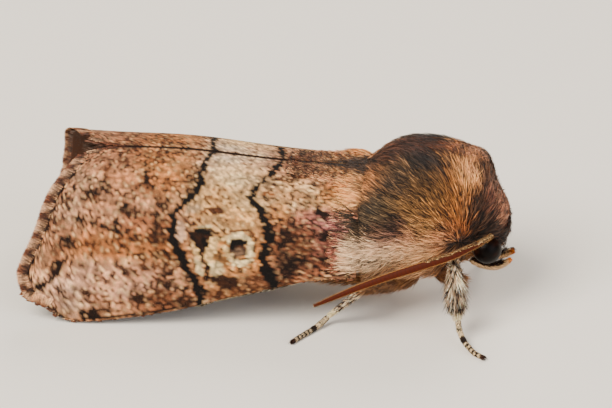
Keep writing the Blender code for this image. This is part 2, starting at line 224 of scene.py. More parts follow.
@dataclass(frozen=True)
class Finish:
    """How a surface takes the light; its colours come from the piece's own marks.

    Attributes:
        specular: Strength of the plain reflection.
        sheen: Strength of the soft edge glow of fine hair.
        mottle: How far fine noise darkens and lightens the colour.
        grain: Size of that noise, in mm.
        bump: Height of the surface's fine relief, in mm.
        facets: True where the relief is the fine net of a compound eye.
    """

    name: str
    roughness: float
    specular: float = 0.5
    sheen: float = 0.0
    mottle: float = 0.0
    grain: float = 0.1
    bump: float = 0.0
    facets: bool = False

    def material(self) -> bpy.types.Material:
        """Builds the finish once and returns it from then on.

        Returns:
            The finish's material.
        """
        existing = bpy.data.materials.get(self.name)
        if existing:
            return existing
        mat = bpy.data.materials.new(self.name)
        mat.use_nodes = True
        tree = mat.node_tree
        shader = tree.nodes["Principled BSDF"]
        shader.inputs["Roughness"].default_value = self.roughness
        shader.inputs["Specular IOR Level"].default_value = self.specular
        shader.inputs["Sheen Weight"].default_value = self.sheen
        shader.inputs["Sheen Roughness"].default_value = 0.4
        marks = tree.nodes.new("ShaderNodeVertexColor")
        marks.layer_name = MARKS
        place = tree.nodes.new("ShaderNodeTexCoord").outputs["Object"]
        colour = marks.outputs["Color"]
        if self.mottle:
            colour = self._mottled(tree, place, colour)
        tree.links.new(colour, shader.inputs["Base Color"])
        if self.bump:
            self._relief(tree, place, shader.inputs["Normal"])
        return mat

    def _mottled(self, tree: bpy.types.NodeTree, place: bpy.types.NodeSocket,
                 colour: bpy.types.NodeSocket) -> bpy.types.NodeSocket:
        """Lightens and darkens a colour by fine noise.

        Args:
            tree: The material's nodes.
            place: The output that gives each point's place.
            colour: The output that gives the plain colour.

        Returns:
            The output that gives the mottled colour.
        """
        fine = tree.nodes.new("ShaderNodeTexNoise")
        fine.inputs["Scale"].default_value = 1.0 / (self.grain * MM)
        fine.inputs["Detail"].default_value = 3.0
        tree.links.new(place, fine.inputs["Vector"])
        level = tree.nodes.new("ShaderNodeMapRange")
        ends = {"From Min": 0.3, "From Max": 0.7, "To Min": 1.0 - self.mottle, "To Max": 1.0 + self.mottle}
        for key, value in ends.items():
            level.inputs[key].default_value = value
        tree.links.new(fine.outputs["Fac"], level.inputs["Value"])
        scaled = tree.nodes.new("ShaderNodeVectorMath")
        scaled.operation = "SCALE"
        tree.links.new(colour, scaled.inputs[0])
        tree.links.new(level.outputs["Result"], scaled.inputs["Scale"])
        return scaled.outputs["Vector"]

    def _relief(self, tree: bpy.types.NodeTree, place: bpy.types.NodeSocket,
                normal: bpy.types.NodeSocket) -> None:
        """Adds the finish's fine relief.

        Args:
            tree: The material's nodes.
            place: The output that gives each point's place.
            normal: The shader's input for the relief.
        """
        texture = tree.nodes.new("ShaderNodeTexVoronoi" if self.facets else "ShaderNodeTexNoise")
        texture.inputs["Scale"].default_value = 1.0 / (self.grain * MM)
        tree.links.new(place, texture.inputs["Vector"])
        bump = tree.nodes.new("ShaderNodeBump")
        bump.inputs["Distance"].default_value = self.bump * MM
        bump.invert = self.facets
        tree.links.new(texture.outputs["Distance" if self.facets else "Fac"], bump.inputs["Height"])
        tree.links.new(bump.outputs["Normal"], normal)


SKIN = Finish("skin", 0.75, specular=0.2, mottle=0.25, grain=0.12, bump=0.03)
MEMBRANE = Finish("wing_membrane", 0.8, specular=0.15, mottle=0.12, grain=0.08, bump=0.02)
SCALES = Finish("wing_scale_coat", 0.62, specular=0.22, sheen=0.12, mottle=0.4, grain=0.04)
FUR = Finish("fur_coat", 0.6, specular=0.25, sheen=0.15)
HORN = Finish("antenna_horn", 0.6, specular=0.12, mottle=0.12, grain=0.06, bump=0.01)
EYE = Finish("compound_eye", 0.38, specular=0.08, mottle=0.3, grain=0.04, bump=0.006, facets=True)
CLAW = Finish("claw_horn", 0.3, specular=0.5)


# ---- meshes ----


@dataclass
class Mesh:
    """A mesh in the making: points in mm with colours, faces grouped by corners, and a coat's bake map."""

    points: Array
    faces: list
    colours: Array
    bake: Array | None = None

    def build(self, name: str, finish: Finish, slot: str) -> bpy.types.Object:
        """Makes the object and lets it ride on the moth's body; all but coats are shaded smooth.

        Args:
            name: The piece's name.
            finish: How it takes the light.
            slot: The piece's material slot; not used.

        Returns:
            The new object.
        """
        mesh = bpy.data.meshes.new(name)
        corners = np.concatenate([group.reshape(-1) for group in self.faces]).astype(np.int32)
        totals = np.repeat([group.shape[1] for group in self.faces], [len(group) for group in self.faces])
        starts = (np.cumsum(totals) - totals).astype(np.int32)
        mesh.vertices.add(len(self.points))
        mesh.vertices.foreach_set("co", (self.points * MM).astype(np.float32).reshape(-1))
        mesh.loops.add(len(corners))
        mesh.loops.foreach_set("vertex_index", corners)
        mesh.polygons.add(len(totals))
        mesh.polygons.foreach_set("loop_start", starts)
        mesh.polygons.foreach_set("use_smooth", np.full(len(totals), self.bake is None))
        if self.bake is not None:
            layer = mesh.uv_layers.new(name=BAKE_MAP)
            layer.uv.foreach_set("vector", self.bake[corners].astype(np.float32).reshape(-1))
        attribute = mesh.color_attributes.new(MARKS, "FLOAT_COLOR", "POINT")
        full = np.column_stack([pigment(self.colours), np.ones(len(self.points))])
        attribute.data.foreach_set("color", full.astype(np.float32).reshape(-1))
        mesh.update(calc_edges=True)
        mesh.materials.append(finish.material())
        obj = bpy.data.objects.new(name, mesh)
        bpy.context.scene.collection.objects.link(obj)
        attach(obj, BODY)
        LOG.info("%s: %d faces", name, len(totals))
        return obj


def joined(meshes: Sequence[Mesh]) -> Mesh:
    """Puts several meshes into one, keeping their own points.

    Args:
        meshes: The meshes, all with a bake map or all without.

    Returns:
        One mesh.
    """
    faces, offset = [], 0
    for mesh in meshes:
        faces.extend(group + offset for group in mesh.faces)
        offset += len(mesh.points)
    bake = np.vstack([mesh.bake for mesh in meshes]) if meshes[0].bake is not None else None
    points = np.vstack([mesh.points for mesh in meshes])
    return Mesh(points, faces, np.vstack([mesh.colours for mesh in meshes]), bake)


def grid_faces(rows: int, columns: int, wrap: bool = False) -> Array:
    """The quads of a grid of points laid out row by row.

    Args:
        rows: Rows of points.
        columns: Points in a row.
        wrap: Whether the last column joins the first.

    Returns:
        One row of four corners for each quad.
    """
    last = columns if wrap else columns - 1
    row, column = np.meshgrid(np.arange(rows - 1), np.arange(last), indexing="ij")
    after = (column + 1) % columns
    here, there = row * columns, (row + 1) * columns
    return np.stack([here + column, here + after, there + after, there + column], axis=-1).reshape(-1, 4)


def tube_faces(rings: int, sides: int) -> list:
    """The faces of a closed tube in groups: quads between its rings, and one face across each end."""
    ring = np.arange(sides)[None]
    return [grid_faces(rings, sides, wrap=True), ring[:, ::-1], ring + (rings - 1) * sides]


def ribbons(spine: Array, across: Array, widths: Array, colours: Array, unwrap: Array) -> Mesh:
    """Tapered tufts, each a strip of quads that ends in a point.

    Args:
        spine: Middle line of each tuft, (tufts, stations, 3), root first.
        across: Unit vector along the width at each station but the last.
        widths: Full width at each station but the last.
        colours: Display colour at each station.
        unwrap: Each tuft's place on the unwrap of its skin, (tufts, 2).

    Returns:
        One mesh of all the tufts.
    """
    count, stations, _ = spine.shape
    half = 0.5 * widths[..., None] * across
    pairs = np.stack([spine[:, :-1] - half, spine[:, :-1] + half], axis=2).reshape(count, -1, 3)
    points = np.concatenate([pairs, spine[:, -1:]], axis=1)
    each = points.shape[1]
    shade = np.concatenate([np.repeat(colours[:, :-1], 2, axis=1), colours[:, -1:]], axis=1)
    first = (np.arange(count) * each)[:, None]
    quads = [first + np.array([2 * k, 2 * k + 1, 2 * k + 3, 2 * k + 2]) for k in range(stations - 2)]
    tips = first + np.array([each - 3, each - 2, each - 1])
    along = np.append(np.repeat(np.linspace(-0.5, 0.5, stations)[:-1], 2), 0.5)
    sideways = np.append(np.tile([-0.5, 0.5], stations - 1), 0.0)
    patch = np.stack([along, sideways], axis=-1) * PATCH
    bake = unwrap[:, None] + patch[None]
    groups = ([np.concatenate(quads)] if quads else []) + [tips]
    return Mesh(points.reshape(-1, 3), groups, shade.reshape(-1, 3), bake.reshape(-1, 2))


def flakes(root: Array, lie: Array, across: Array, normal: Array, size: Array, lift: Array,
           colours: Array, unwrap: Array) -> Mesh:
    """Scales: small overlapping paddles of two triangles, rooted in the skin and a little raised at the tip;
    each is painted dark at its root, as painted shade under the scale before it, and light at its tip, as a
    painted highlight.

    Args:
        root: Where each scale is rooted.
        lie: Unit vector from root to tip.
        across: Unit vector along the width.
        normal: Unit vector away from the wing.
        size: Length and width of each scale, (scales, 2).
        lift: Height of the tip over the root.
        colours: Display colour of each scale.
        unwrap: Each scale's place on the unwrap of the wing.

    Returns:
        One mesh of all the scales.
    """
    long, wide = size[:, :1], size[:, 1:]
    waist = root + 0.62 * long * lie + 0.75 * lift[:, None] * normal
    tip = root + long * lie + lift[:, None] * normal
    points = np.stack([root, waist - 0.5 * wide * across, tip, waist + 0.5 * wide * across], axis=1)
    first = (np.arange(len(root)) * 4)[:, None]
    faces = np.concatenate([first + np.array([0, 1, 2]), first + np.array([0, 2, 3])])
    # Painted shade at each scale's root, under the scale before it, and a painted highlight at its tip.
    shade = np.stack([0.5 * colours, 0.95 * colours, 1.2 * colours, 0.95 * colours], axis=1)
    patch = np.array([(-0.5, 0.0), (0.1, -0.5), (0.5, 0.0), (0.1, 0.5)]) * PATCH
    bake = unwrap[:, None] + patch[None]
    return Mesh(points.reshape(-1, 3), [faces], shade.reshape(-1, 3), bake.reshape(-1, 2))


# ---- the wing's markings ----

BLACK, SOOT, UMBER, BROWN = "17100c", "2a1b14", "402a1d", "644430"
CREAM, WHITE, BONE = "f8d8a6", "ffe8be", "d8b48a"


@dataclass(frozen=True)
class Line:
    """A line drawn on the wing through (x, q, width) points, in mm."""

    points: tuple
    tone: str = SOOT
    soft: float = 0.1
    strength: float = 1.0

    def reach(self) -> tuple:
        """The box that holds the line.

        Returns:
            Its lowest and highest x, and its lowest and highest q.
        """
        pts = np.array(self.points, float)
        pad = pts[:, 2].max() / 2 + self.soft
        (low_x, low_q), (high_x, high_q) = pts[:, :2].min(axis=0) - pad, pts[:, :2].max(axis=0) + pad
        return low_x, high_x, low_q, high_q

    def density(self, x: Array, q: Array) -> Array:
        """How strongly the line shows.

        Args:
            x: Places along the moth.
            q: Their distances from the ridge.

        Returns:
            A share for each place, 0 to the line's strength.
        """
        out = np.zeros_like(x)
        pts = np.array(self.points, float)
        for (ax, aq, aw), (bx, bq, bw) in zip(pts, pts[1:]):
            dx, dq = bx - ax, bq - aq
            t = np.clip(((x - ax) * dx + (q - aq) * dq) / (dx * dx + dq * dq + 1e-12), 0.0, 1.0)
            away = np.hypot(x - ax - t * dx, q - aq - t * dq)
            out = np.maximum(out, ramp((0.5 * (aw + (bw - aw) * t) - away) / self.soft + 0.5))
        return out * self.strength


@dataclass(frozen=True)
class Blot:
    """An oval patch on the wing: centre, radii, colour, strength, softness and turn in degrees."""

    x: float
    q: float
    rx: float
    rq: float
    tone: str = SOOT
    strength: float = 1.0
    soft: float = 0.9
    turn: float = 0.0

    def reach(self) -> tuple:
        """The box that holds the patch, as the line's."""
        r = max(self.rx, self.rq) * (1.0 + 0.5 * self.soft)
        return self.x - r, self.x + r, self.q - r, self.q + r

    def density(self, x: Array, q: Array) -> Array:
        """How strongly the patch shows.

        Args:
            x: Places along the moth.
            q: Their distances from the ridge.

        Returns:
            A share for each place, 0 to the patch's strength.
        """
        c, s = math.cos(math.radians(self.turn)), math.sin(math.radians(self.turn))
        u = ((x - self.x) * c + (q - self.q) * s) / self.rx
        v = (-(x - self.x) * s + (q - self.q) * c) / self.rq
        return self.strength * ramp((1.0 - np.hypot(u, v)) / self.soft + 0.5)


GROUND = "cca282"
WASHES = (
    Blot(-1.4, .5, 1.9, 2, "f4dcc2", 1),
    Blot(-1.3, 2.6, 2.1, 1.6, "fadcb2", .95, 1),
    Blot(-1.7, 4.6, 2.2, 2.1, "dfb88a", .95, .8),
    Blot(-1, 5.5, 1.3, 1.1, "b88a5e", .85, .8),
    Blot(-3.55, 4.8, .5, 1.2, "d8b092", .9),
    Blot(-1, 6.9, 1.6, .9, "c09670", .9),
    Blot(-3.4, 6.5, 1.3, 1.4, "b98c69", .8, 1),
    Blot(-5.5, 1.8, 1.9, 1.7, "cb905f", .9, 1.1),
    Blot(-4.3, .9, .7, 1.2, "d2a47a", .7, 1.1),
    Blot(-7.7, 1, 1.7, 1.2, "b98a6e", .8, 1),
    Blot(-6.9, 3.2, 2, 1.6, "d0a486", .8, 1.1),
    Blot(-5.6, 4.6, 1.8, .9, "c08f70", .7, 1),
    Blot(-6.2, 5.7, 2.8, .75, "c08c62", .9, .9, -4),
    Blot(-6.3, 7.4, 2.9, 1.1, "e8bea4", .95),
    Blot(-9, 7.9, 1.5, .8, "ecc8ae", .95, .9, 18),
    Blot(-9.1, 4.6, .9, 2.6, "c8a084", .7, 1, 12),
    Blot(1.6, 2.2, 2.1, 1.1, "e8c49c", .95),
    Blot(3.5, 2.5, 1.1, .9, "e2b484", .9, 1),
    Blot(1.1, .5, 1.3, .9, "aa8068", .8, 1),
    Blot(3.6, 1.2, 1.3, 1.2, "d29a68", .95, 1),
    Blot(2.4, 1.3, .8, .5, "bb9078", .6, 1),
    Blot(3.2, 3.7, 1.8, .8, "a87874", .95, .8),
    Blot(1.4, 4.6, 1.3, 1.2, "a2745a", .8),
    Blot(3.6, 5, 1.3, .9, "a06e62", .95),
    Blot(1.6, 6, 2.2, .5, "845c48", .8, .9, -18),
    Blot(.75, 3.3, .5, .5, "d09864", .7, 1, 40),
    Blot(-4.6, 8.2, 1.4, .5, "9e6c4e", .7, 1, -8),
)

CROSS_LINES = (
    Line(((-2.74, -.2, .2), (-2.8, .5, .26), (-2.98, 1.2, .24), (-3.02, 1.85, .22), (-2.88, 2.2, .36),
          (-3.02, 2.7, .24), (-3.3, 3.15, .28), (-3.62, 3.5, .32), (-3.9, 3.95, .3), (-3.95, 4.4, .32),
          (-4, 4.8, .4), (-3.93, 5.2, .42), (-3.8, 5.5, .36), (-3.55, 5.85, .36), (-3.4, 6.15, .38),
          (-3.25, 6.5, .34), (-3, 6.8, .36), (-2.8, 7.15, .4), (-2.66, 7.5, .46), (-2.6, 8.2, .42)),
         BLACK, .16),
    Line(((.42, -.2, .2), (.32, .45, .26), (.28, .9, .32), (.12, 1.25, .26), (-.02, 1.5, .1),
          (-.14, 1.85, .12), (-.36, 2.2, .2), (-.58, 2.55, .26), (-.6, 2.85, .24), (-.37, 3.05, .24),
          (-.08, 3.3, .28),
          (.1, 3.6, .34), (.2, 3.95, .4), (.36, 4.25, .54), (.36, 4.6, .46), (.26, 4.95, .4), (.2, 5.3, .38),
          (.2, 5.65, .44), (.28, 5.95, .56), (.42, 6.25, .62), (.62, 6.5, .46), (.75, 6.8, .36)),
         BLACK, .16),
)

FIGURE_DARKS = (
    Blot(-2.72, 4.78, .5, .26, UMBER, .95, .4),
    Blot(-2.55, 4.63, .4, .12, BLACK, .85, .5),
    Blot(-2.72, 5.08, .34, .28, "3a261a", .9, .5, 20),
    Blot(-2.46, 5.15, .17, .22, BLACK, .9, .5),
    Line(((-3.1, 4.95, .16), (-2.85, 5.25, .16), (-2.62, 5.45, .18), (-2.6, 5.8, .14), (-2.58, 5.98, .1)),
         SOOT, .1),
    Line(((-2.46, 6.1, .12), (-2.25, 6.2, .14), (-2.38, 6.42, .14), (-2.3, 6.62, .16)), SOOT, .1),
    Line(((-2.2, 4.58, .1), (-1.88, 4.62, .08), (-1.8, 4.75, .08)), UMBER, .08, .8),
    Blot(-.98, 5.15, .42, .4, "5f4434", .9, .4),
    Blot(-.95, 4.9, .36, .15, BLACK, 1, .5, -8),
    Blot(-1.25, 5.1, .16, .17, BLACK, 1, .5),
    Blot(-.9, 5.35, .3, .2, "806c5c", .85, .6),
    Line(((-1.15, 5.6, .07), (-.8, 5.65, .08), (-.55, 5.55, .08)), UMBER, .08, .8),
    Line(((-.62, 5.28, .08), (-.42, 5.4, .06)), UMBER, .07, .7),
    Line(((-.3, 4.6, .06), (-.2, 4.85, .07), (-.26, 5.2, .1)), UMBER, .07, .7),
    Line(((-1.4, 4.5, .09), (-1, 4.36, .09), (-.6, 4.27, .09), (-.3, 4.45, .08), (-.2, 4.75, .07)),
         BROWN, .07, .9),
    Blot(-1.8, 5.7, .22, .16, "86684a", .9, .5),
    Blot(-1.5, 5.85, .2, .08, "94704e", .7, .6),
)

CLOUDS_AND_RIDGE_SHADOW = (
    Blot(-2.15, 3.62, .45, .16, BROWN, .7, .8),
    Blot(-2.75, 3.75, .16, .1, BROWN, .6, .6),
    Blot(-2.82, 4.12, .12, .18, BROWN, .55, .6),
    Blot(-3, 4.3, .12, .1, BROWN, .6, .6),
    Blot(-2, 2.55, .35, .14, "8a6448", .5, .8, -30),
    Blot(-2.4, 3.05, .28, .12, "8a6448", .45, .8),
    Blot(-1.3, .7, .14, .12, "94745c", .5, .8),
    Blot(-.45, .9, .12, .24, "94745c", .5, .8),
    Blot(-1.45, 6.85, .6, .36, UMBER, .75, .9, 14),
    Blot(-2.2, 6.75, .3, .14, UMBER, .7, .8),
    Blot(-.55, 7.05, .65, .18, UMBER, .55, .9, -12),
    Blot(-1.6, 7.5, .6, .24, "6e4a30", .6),
    Blot(-.2, 6.5, .45, .14, BROWN, .55, .9, -14),
    Blot(-4.6, 4.4, .4, 1.2, UMBER, .45, 1),
    Blot(-7.3, 2.75, .3, .2, SOOT, .6, .9, 20),
    Blot(-5.9, 4.1, .4, .2, UMBER, .6),
    Blot(-8, 3.4, .3, .3, UMBER, .55),
    Blot(-8.5, 5.6, .3, .3, UMBER, .5),
    Blot(-3.5, 2.4, .3, .7, UMBER, .35, 1, -20),
    Blot(-5.2, 6.6, .6, .5, BROWN, .35, 1),
    Blot(-6.9, 8.2, .8, .3, BROWN, .35, 1),
    Blot(-7, 1.2, .6, .4, BROWN, .4, 1),
    Blot(-6.3, .4, 1.2, .3, BROWN, .4, 1),
    Blot(-4.55, 3.55, .38, .32, UMBER, .5),
    Blot(-4.75, 5.15, .32, .32, UMBER, .62),
    Line(((-4.6, 5.1, .14), (-5.2, 5.12, .12), (-5.6, 5.08, .06)), UMBER, .14, .6),
    Blot(-4.35, 5.95, .5, .2, UMBER, .6),
    Blot(-4.3, 6.4, .32, .22, BROWN, .45),
    Blot(-4.1, 7.2, .42, .55, UMBER, .55),
    Blot(-3.4, 7.7, .34, .55, UMBER, .5),
    Blot(-4.6, 7.9, .6, .3, BROWN, .5, .9, -8),
    Blot(-3.4, 8.1, .6, .25, UMBER, .6, .9, -10),
    Blot(-5.4, 8.05, .5, .38, UMBER, .62, 1, 30),
    Blot(-3.25, 2.75, .25, .16, UMBER, .5),
    Line(((-3.3, 2.86, .14), (-3.9, 2.95, .12), (-4.5, 2.9, .06)), UMBER, .16, .5),
    Blot(-3.35, .6, .22, .45, BROWN, .5),
    Blot(-4.98, .5, .14, .35, "7a543c", .6),
    Line(((-5.65, 1.1, .08), (-5.5, 1.9, .1), (-5.42, 2.3, .2), (-5.4, 2.6, .24)), SOOT, .16, .75),
    Line(((-5.4, 2.6, .16), (-4.95, 2.75, .06)), UMBER, .14, .6),
    Line(((-6.3, 3.25, .1), (-6.2, 3.6, .16), (-6.1, 3.85, .28)), SOOT, .16, .8),
    Line(((-6.1, 3.9, .12), (-5.5, 3.95, .06), (-5, 4.2, .05)), UMBER, .12, .5),
    Line(((-7.25, 4.75, .08), (-6.8, 4.85, .16), (-6.4, 4.97, .22), (-6.05, 4.97, .1)), SOOT, .14, .85),
    Blot(-6.55, 4.6, .12, .22, SOOT, .7, .8),
    Line(((-6.4, 5.95, .1), (-6, 6, .1)), UMBER, .12, .6),
    Line(((-6.3, 6.75, .1), (-6, 6.9, .14)), UMBER, .14, .55),
    Blot(-7.75, 3.25, .34, .24, UMBER, .55, .9, -20),
    Line(((-7.55, 2.9, .1), (-7.7, 3.2, .2), (-7.95, 3.25, .1)), SOOT, .14, .7),
    Blot(-7.6, 3.55, .22, .22, BROWN, .5),
    Blot(-8.2, 4.5, .32, .22, UMBER, .6),
    Line(((-8.5, 4.45, .1), (-8.25, 4.5, .18), (-8.1, 4.65, .12)), SOOT, .14, .75),
    Blot(-8.35, 4.85, .3, .12, BROWN, .6),
    Blot(-8.75, 5.5, .2, .24, SOOT, .75),
    Blot(-8.7, 5.75, .3, .14, UMBER, .6),
    Blot(-7.7, 5.65, .38, .16, BROWN, .45),
    Blot(-8, 6.6, .32, .12, UMBER, .45),
    Blot(-7.9, 7.85, .32, .16, UMBER, .5),
    Blot(-7.2, 2.35, .3, .14, BROWN, .5),
    Blot(-7.3, 1.8, .32, .22, BROWN, .4),
    Line(((-8.75, 6.4, .18), (-9, 6.65, .42), (-9.15, 6.95, .36), (-9.3, 7.3, .28), (-9.6, 7.55, .22),
          (-10, 7.8, .24), (-10.35, 8.05, .3), (-10.6, 8.2, .24)), SOOT, .16, .95),
    Blot(-9.35, 6.7, .25, .12, UMBER, .6),
    Line(((-10.6, 8.34, .16), (-9.9, 8.62, .14), (-9.2, 8.95, .16), (-8.8, 9.2, .14)), SOOT, .18, .75),
    Blot(-9.3, 8.75, .22, .12, UMBER, .5),
    Blot(-7.6, 8.95, .5, .22, SOOT, .8, .9, 4),
    Blot(-7.05, 8.7, .5, .12, UMBER, .5),
    Line(((-7.9, 9.15, .14), (-7, 9.08, .16), (-6, 8.95, .1), (-5, 8.75, .14), (-4.2, 8.55, .14),
          (-3.4, 8.35, .12)), SOOT, .14, .85),
    # Dark along the ridge: partly the dark hair of the wing's inner edge, partly painted shadow in the groove
    # where the two fore wings meet.
    Line(((4.4, .05, .13), (.0, .05, .13), (-7.2, .05, .13)), SOOT, .05, 1.2),
    Line(((-3, 7.75, .4), (-1.6, 7.45, .4), (.2, 6.85, .4), (1.6, 6.4, .4)), BROWN, .3, .5),
    Blot(2.65, 3.1, .24, .2, SOOT, .9, .8, 20),
    Line(((2.9, 3.25, .12), (2.5, 3.4, .1), (2.2, 3.5, .06)), UMBER, .12, .6),
    Blot(3, 4.15, .32, .2, SOOT, .8, .9, -20),
    Line(((3.3, 4.1, .12), (3, 4.15, .16), (2.75, 4.35, .1)), SOOT, .12, .8),
    Blot(3.05, 4.85, .5, .12, UMBER, .5, .9, -14),
    Blot(2.85, 5.2, .3, .14, SOOT, .75, .9, 0),
    Blot(1.6, 4.9, 1, 1.1, UMBER, .5, 1),
    Blot(1.25, 5.3, .6, .8, SOOT, .45, 1),
    Blot(1.5, .75, .9, .5, UMBER, .42, 1, 14),
    Blot(3, .9, 1, .3, BROWN, .3, 1),
    Blot(1.15, 4.25, .35, .14, SOOT, .75),
    Line(((.95, 3.8, .14), (1, 4.3, .2), (.95, 4.9, .16), (.95, 5.3, .16)), SOOT, .2, .7),
    Line(((1.2, 4.25, .14), (1.8, 4.25, .12), (2.5, 4.15, .08)), UMBER, .16, .6),
    Blot(1.3, 5.7, .5, .35, SOOT, .72, 1, -10),
    Blot(2, 5.45, .3, .25, SOOT, .55, 1),
    Blot(1.15, 6.15, .4, .2, SOOT, .6, 1),
    Blot(1.9, 4.8, .5, .35, BROWN, .45, 1),
    Blot(.85, 3.6, .16, .1, UMBER, .7, .8),
    Blot(1.4, 3.45, .2, .08, UMBER, .5, .8),
    Blot(.45, 3.15, .25, .07, BROWN, .55, .8, 15),
    Blot(1.2, 1.05, .32, .42, UMBER, .62, 1, 20),
    Blot(1.1, .3, .45, .3, "6c4a38", .55, 1),
    Blot(.75, 1.6, .38, .16, BROWN, .55),
    Blot(1.6, 1.3, .32, .12, BROWN, .55),
    Blot(.1, 2.45, .3, .12, "8c5c3a", .6),
    Blot(.0, 2.65, .12, .08, UMBER, .6, .8),
    Blot(.45, 1.95, .22, .08, UMBER, .55, .8),
    Blot(3.2, 1.7, .24, .14, UMBER, .7),
    Line(((2.7, 1.2, .06), (3.2, 1.6, .08), (4.1, 1.9, .06)), "8c6c58", .2, .6),
    Line(((4.5, 2.1, .1), (4, 1.95, .05)), UMBER, .1, .5),
)

RING_TURNS = np.radians(np.linspace(-150, 170, 17))
RING = tuple((-.93 + .54 * math.cos(turn), 5.2 + .66 * math.sin(turn), .3) for turn in RING_TURNS)
PALE_MARKS = (
    Line(((-2.2, 4.9, .26), (-1.8, 4.86, .24), (-1.42, 4.7, .2), (-1, 4.56, .2), (-.62, 4.62, .22),
          (-.42, 4.86, .24), (-.44, 5.18, .2)), CREAM, .08),
    Line(RING, WHITE, .08),
    Line(((-1.62, 5.2, .2), (-1.5, 5.42, .18), (-1.32, 5.66, .16)), CREAM, .08),
    Line(((-2.1, 5.1, .34), (-2.24, 5.5, .4), (-2.3, 5.85, .34), (-2.1, 6.1, .3)), CREAM, .1),
    Blot(-1.93, 6.28, .34, .36, WHITE, 1, .3, -20),
    Line(((-3.05, 5.22, .14), (-2.9, 5.5, .22), (-2.76, 5.78, .18)), CREAM, .08),
    Line(((-2.74, 6.05, .24), (-2.7, 6.35, .34), (-2.62, 6.6, .22)), WHITE, .1),
    Line(((-2.88, 4.45, .09), (-2.55, 4.4, .1), (-2.3, 4.36, .08)), WHITE, .06),
    Blot(-3.62, 4.75, .22, .5, "dcbba0", .7, .8),
    Blot(-3.1, 3.65, .4, .18, "e0c3a2", .7, .9, -30),
    Blot(-2.2, 6.98, .22, .12, BONE, .7, .8),
    Line(((-.5, 7.12, .08), (.1, 7, .08)), BONE, .08, .6),
    Line(((-2.2, 7.7, .14), (-1.6, 7.62, .1)), "c9987a", .12, .7),
    Blot(-8.2, 8.75, .3, .14, "dcbda2", .7, .9, 20),
    Blot(-8.4, 9.1, .3, .1, "d0ac92", .7),
    Blot(-5.8, 8.95, .3, .06, "cba88c", .6, .9, -6),
    Blot(-.05, 3.3, .1, .2, "e6cca8", .5, .9, -35),
)


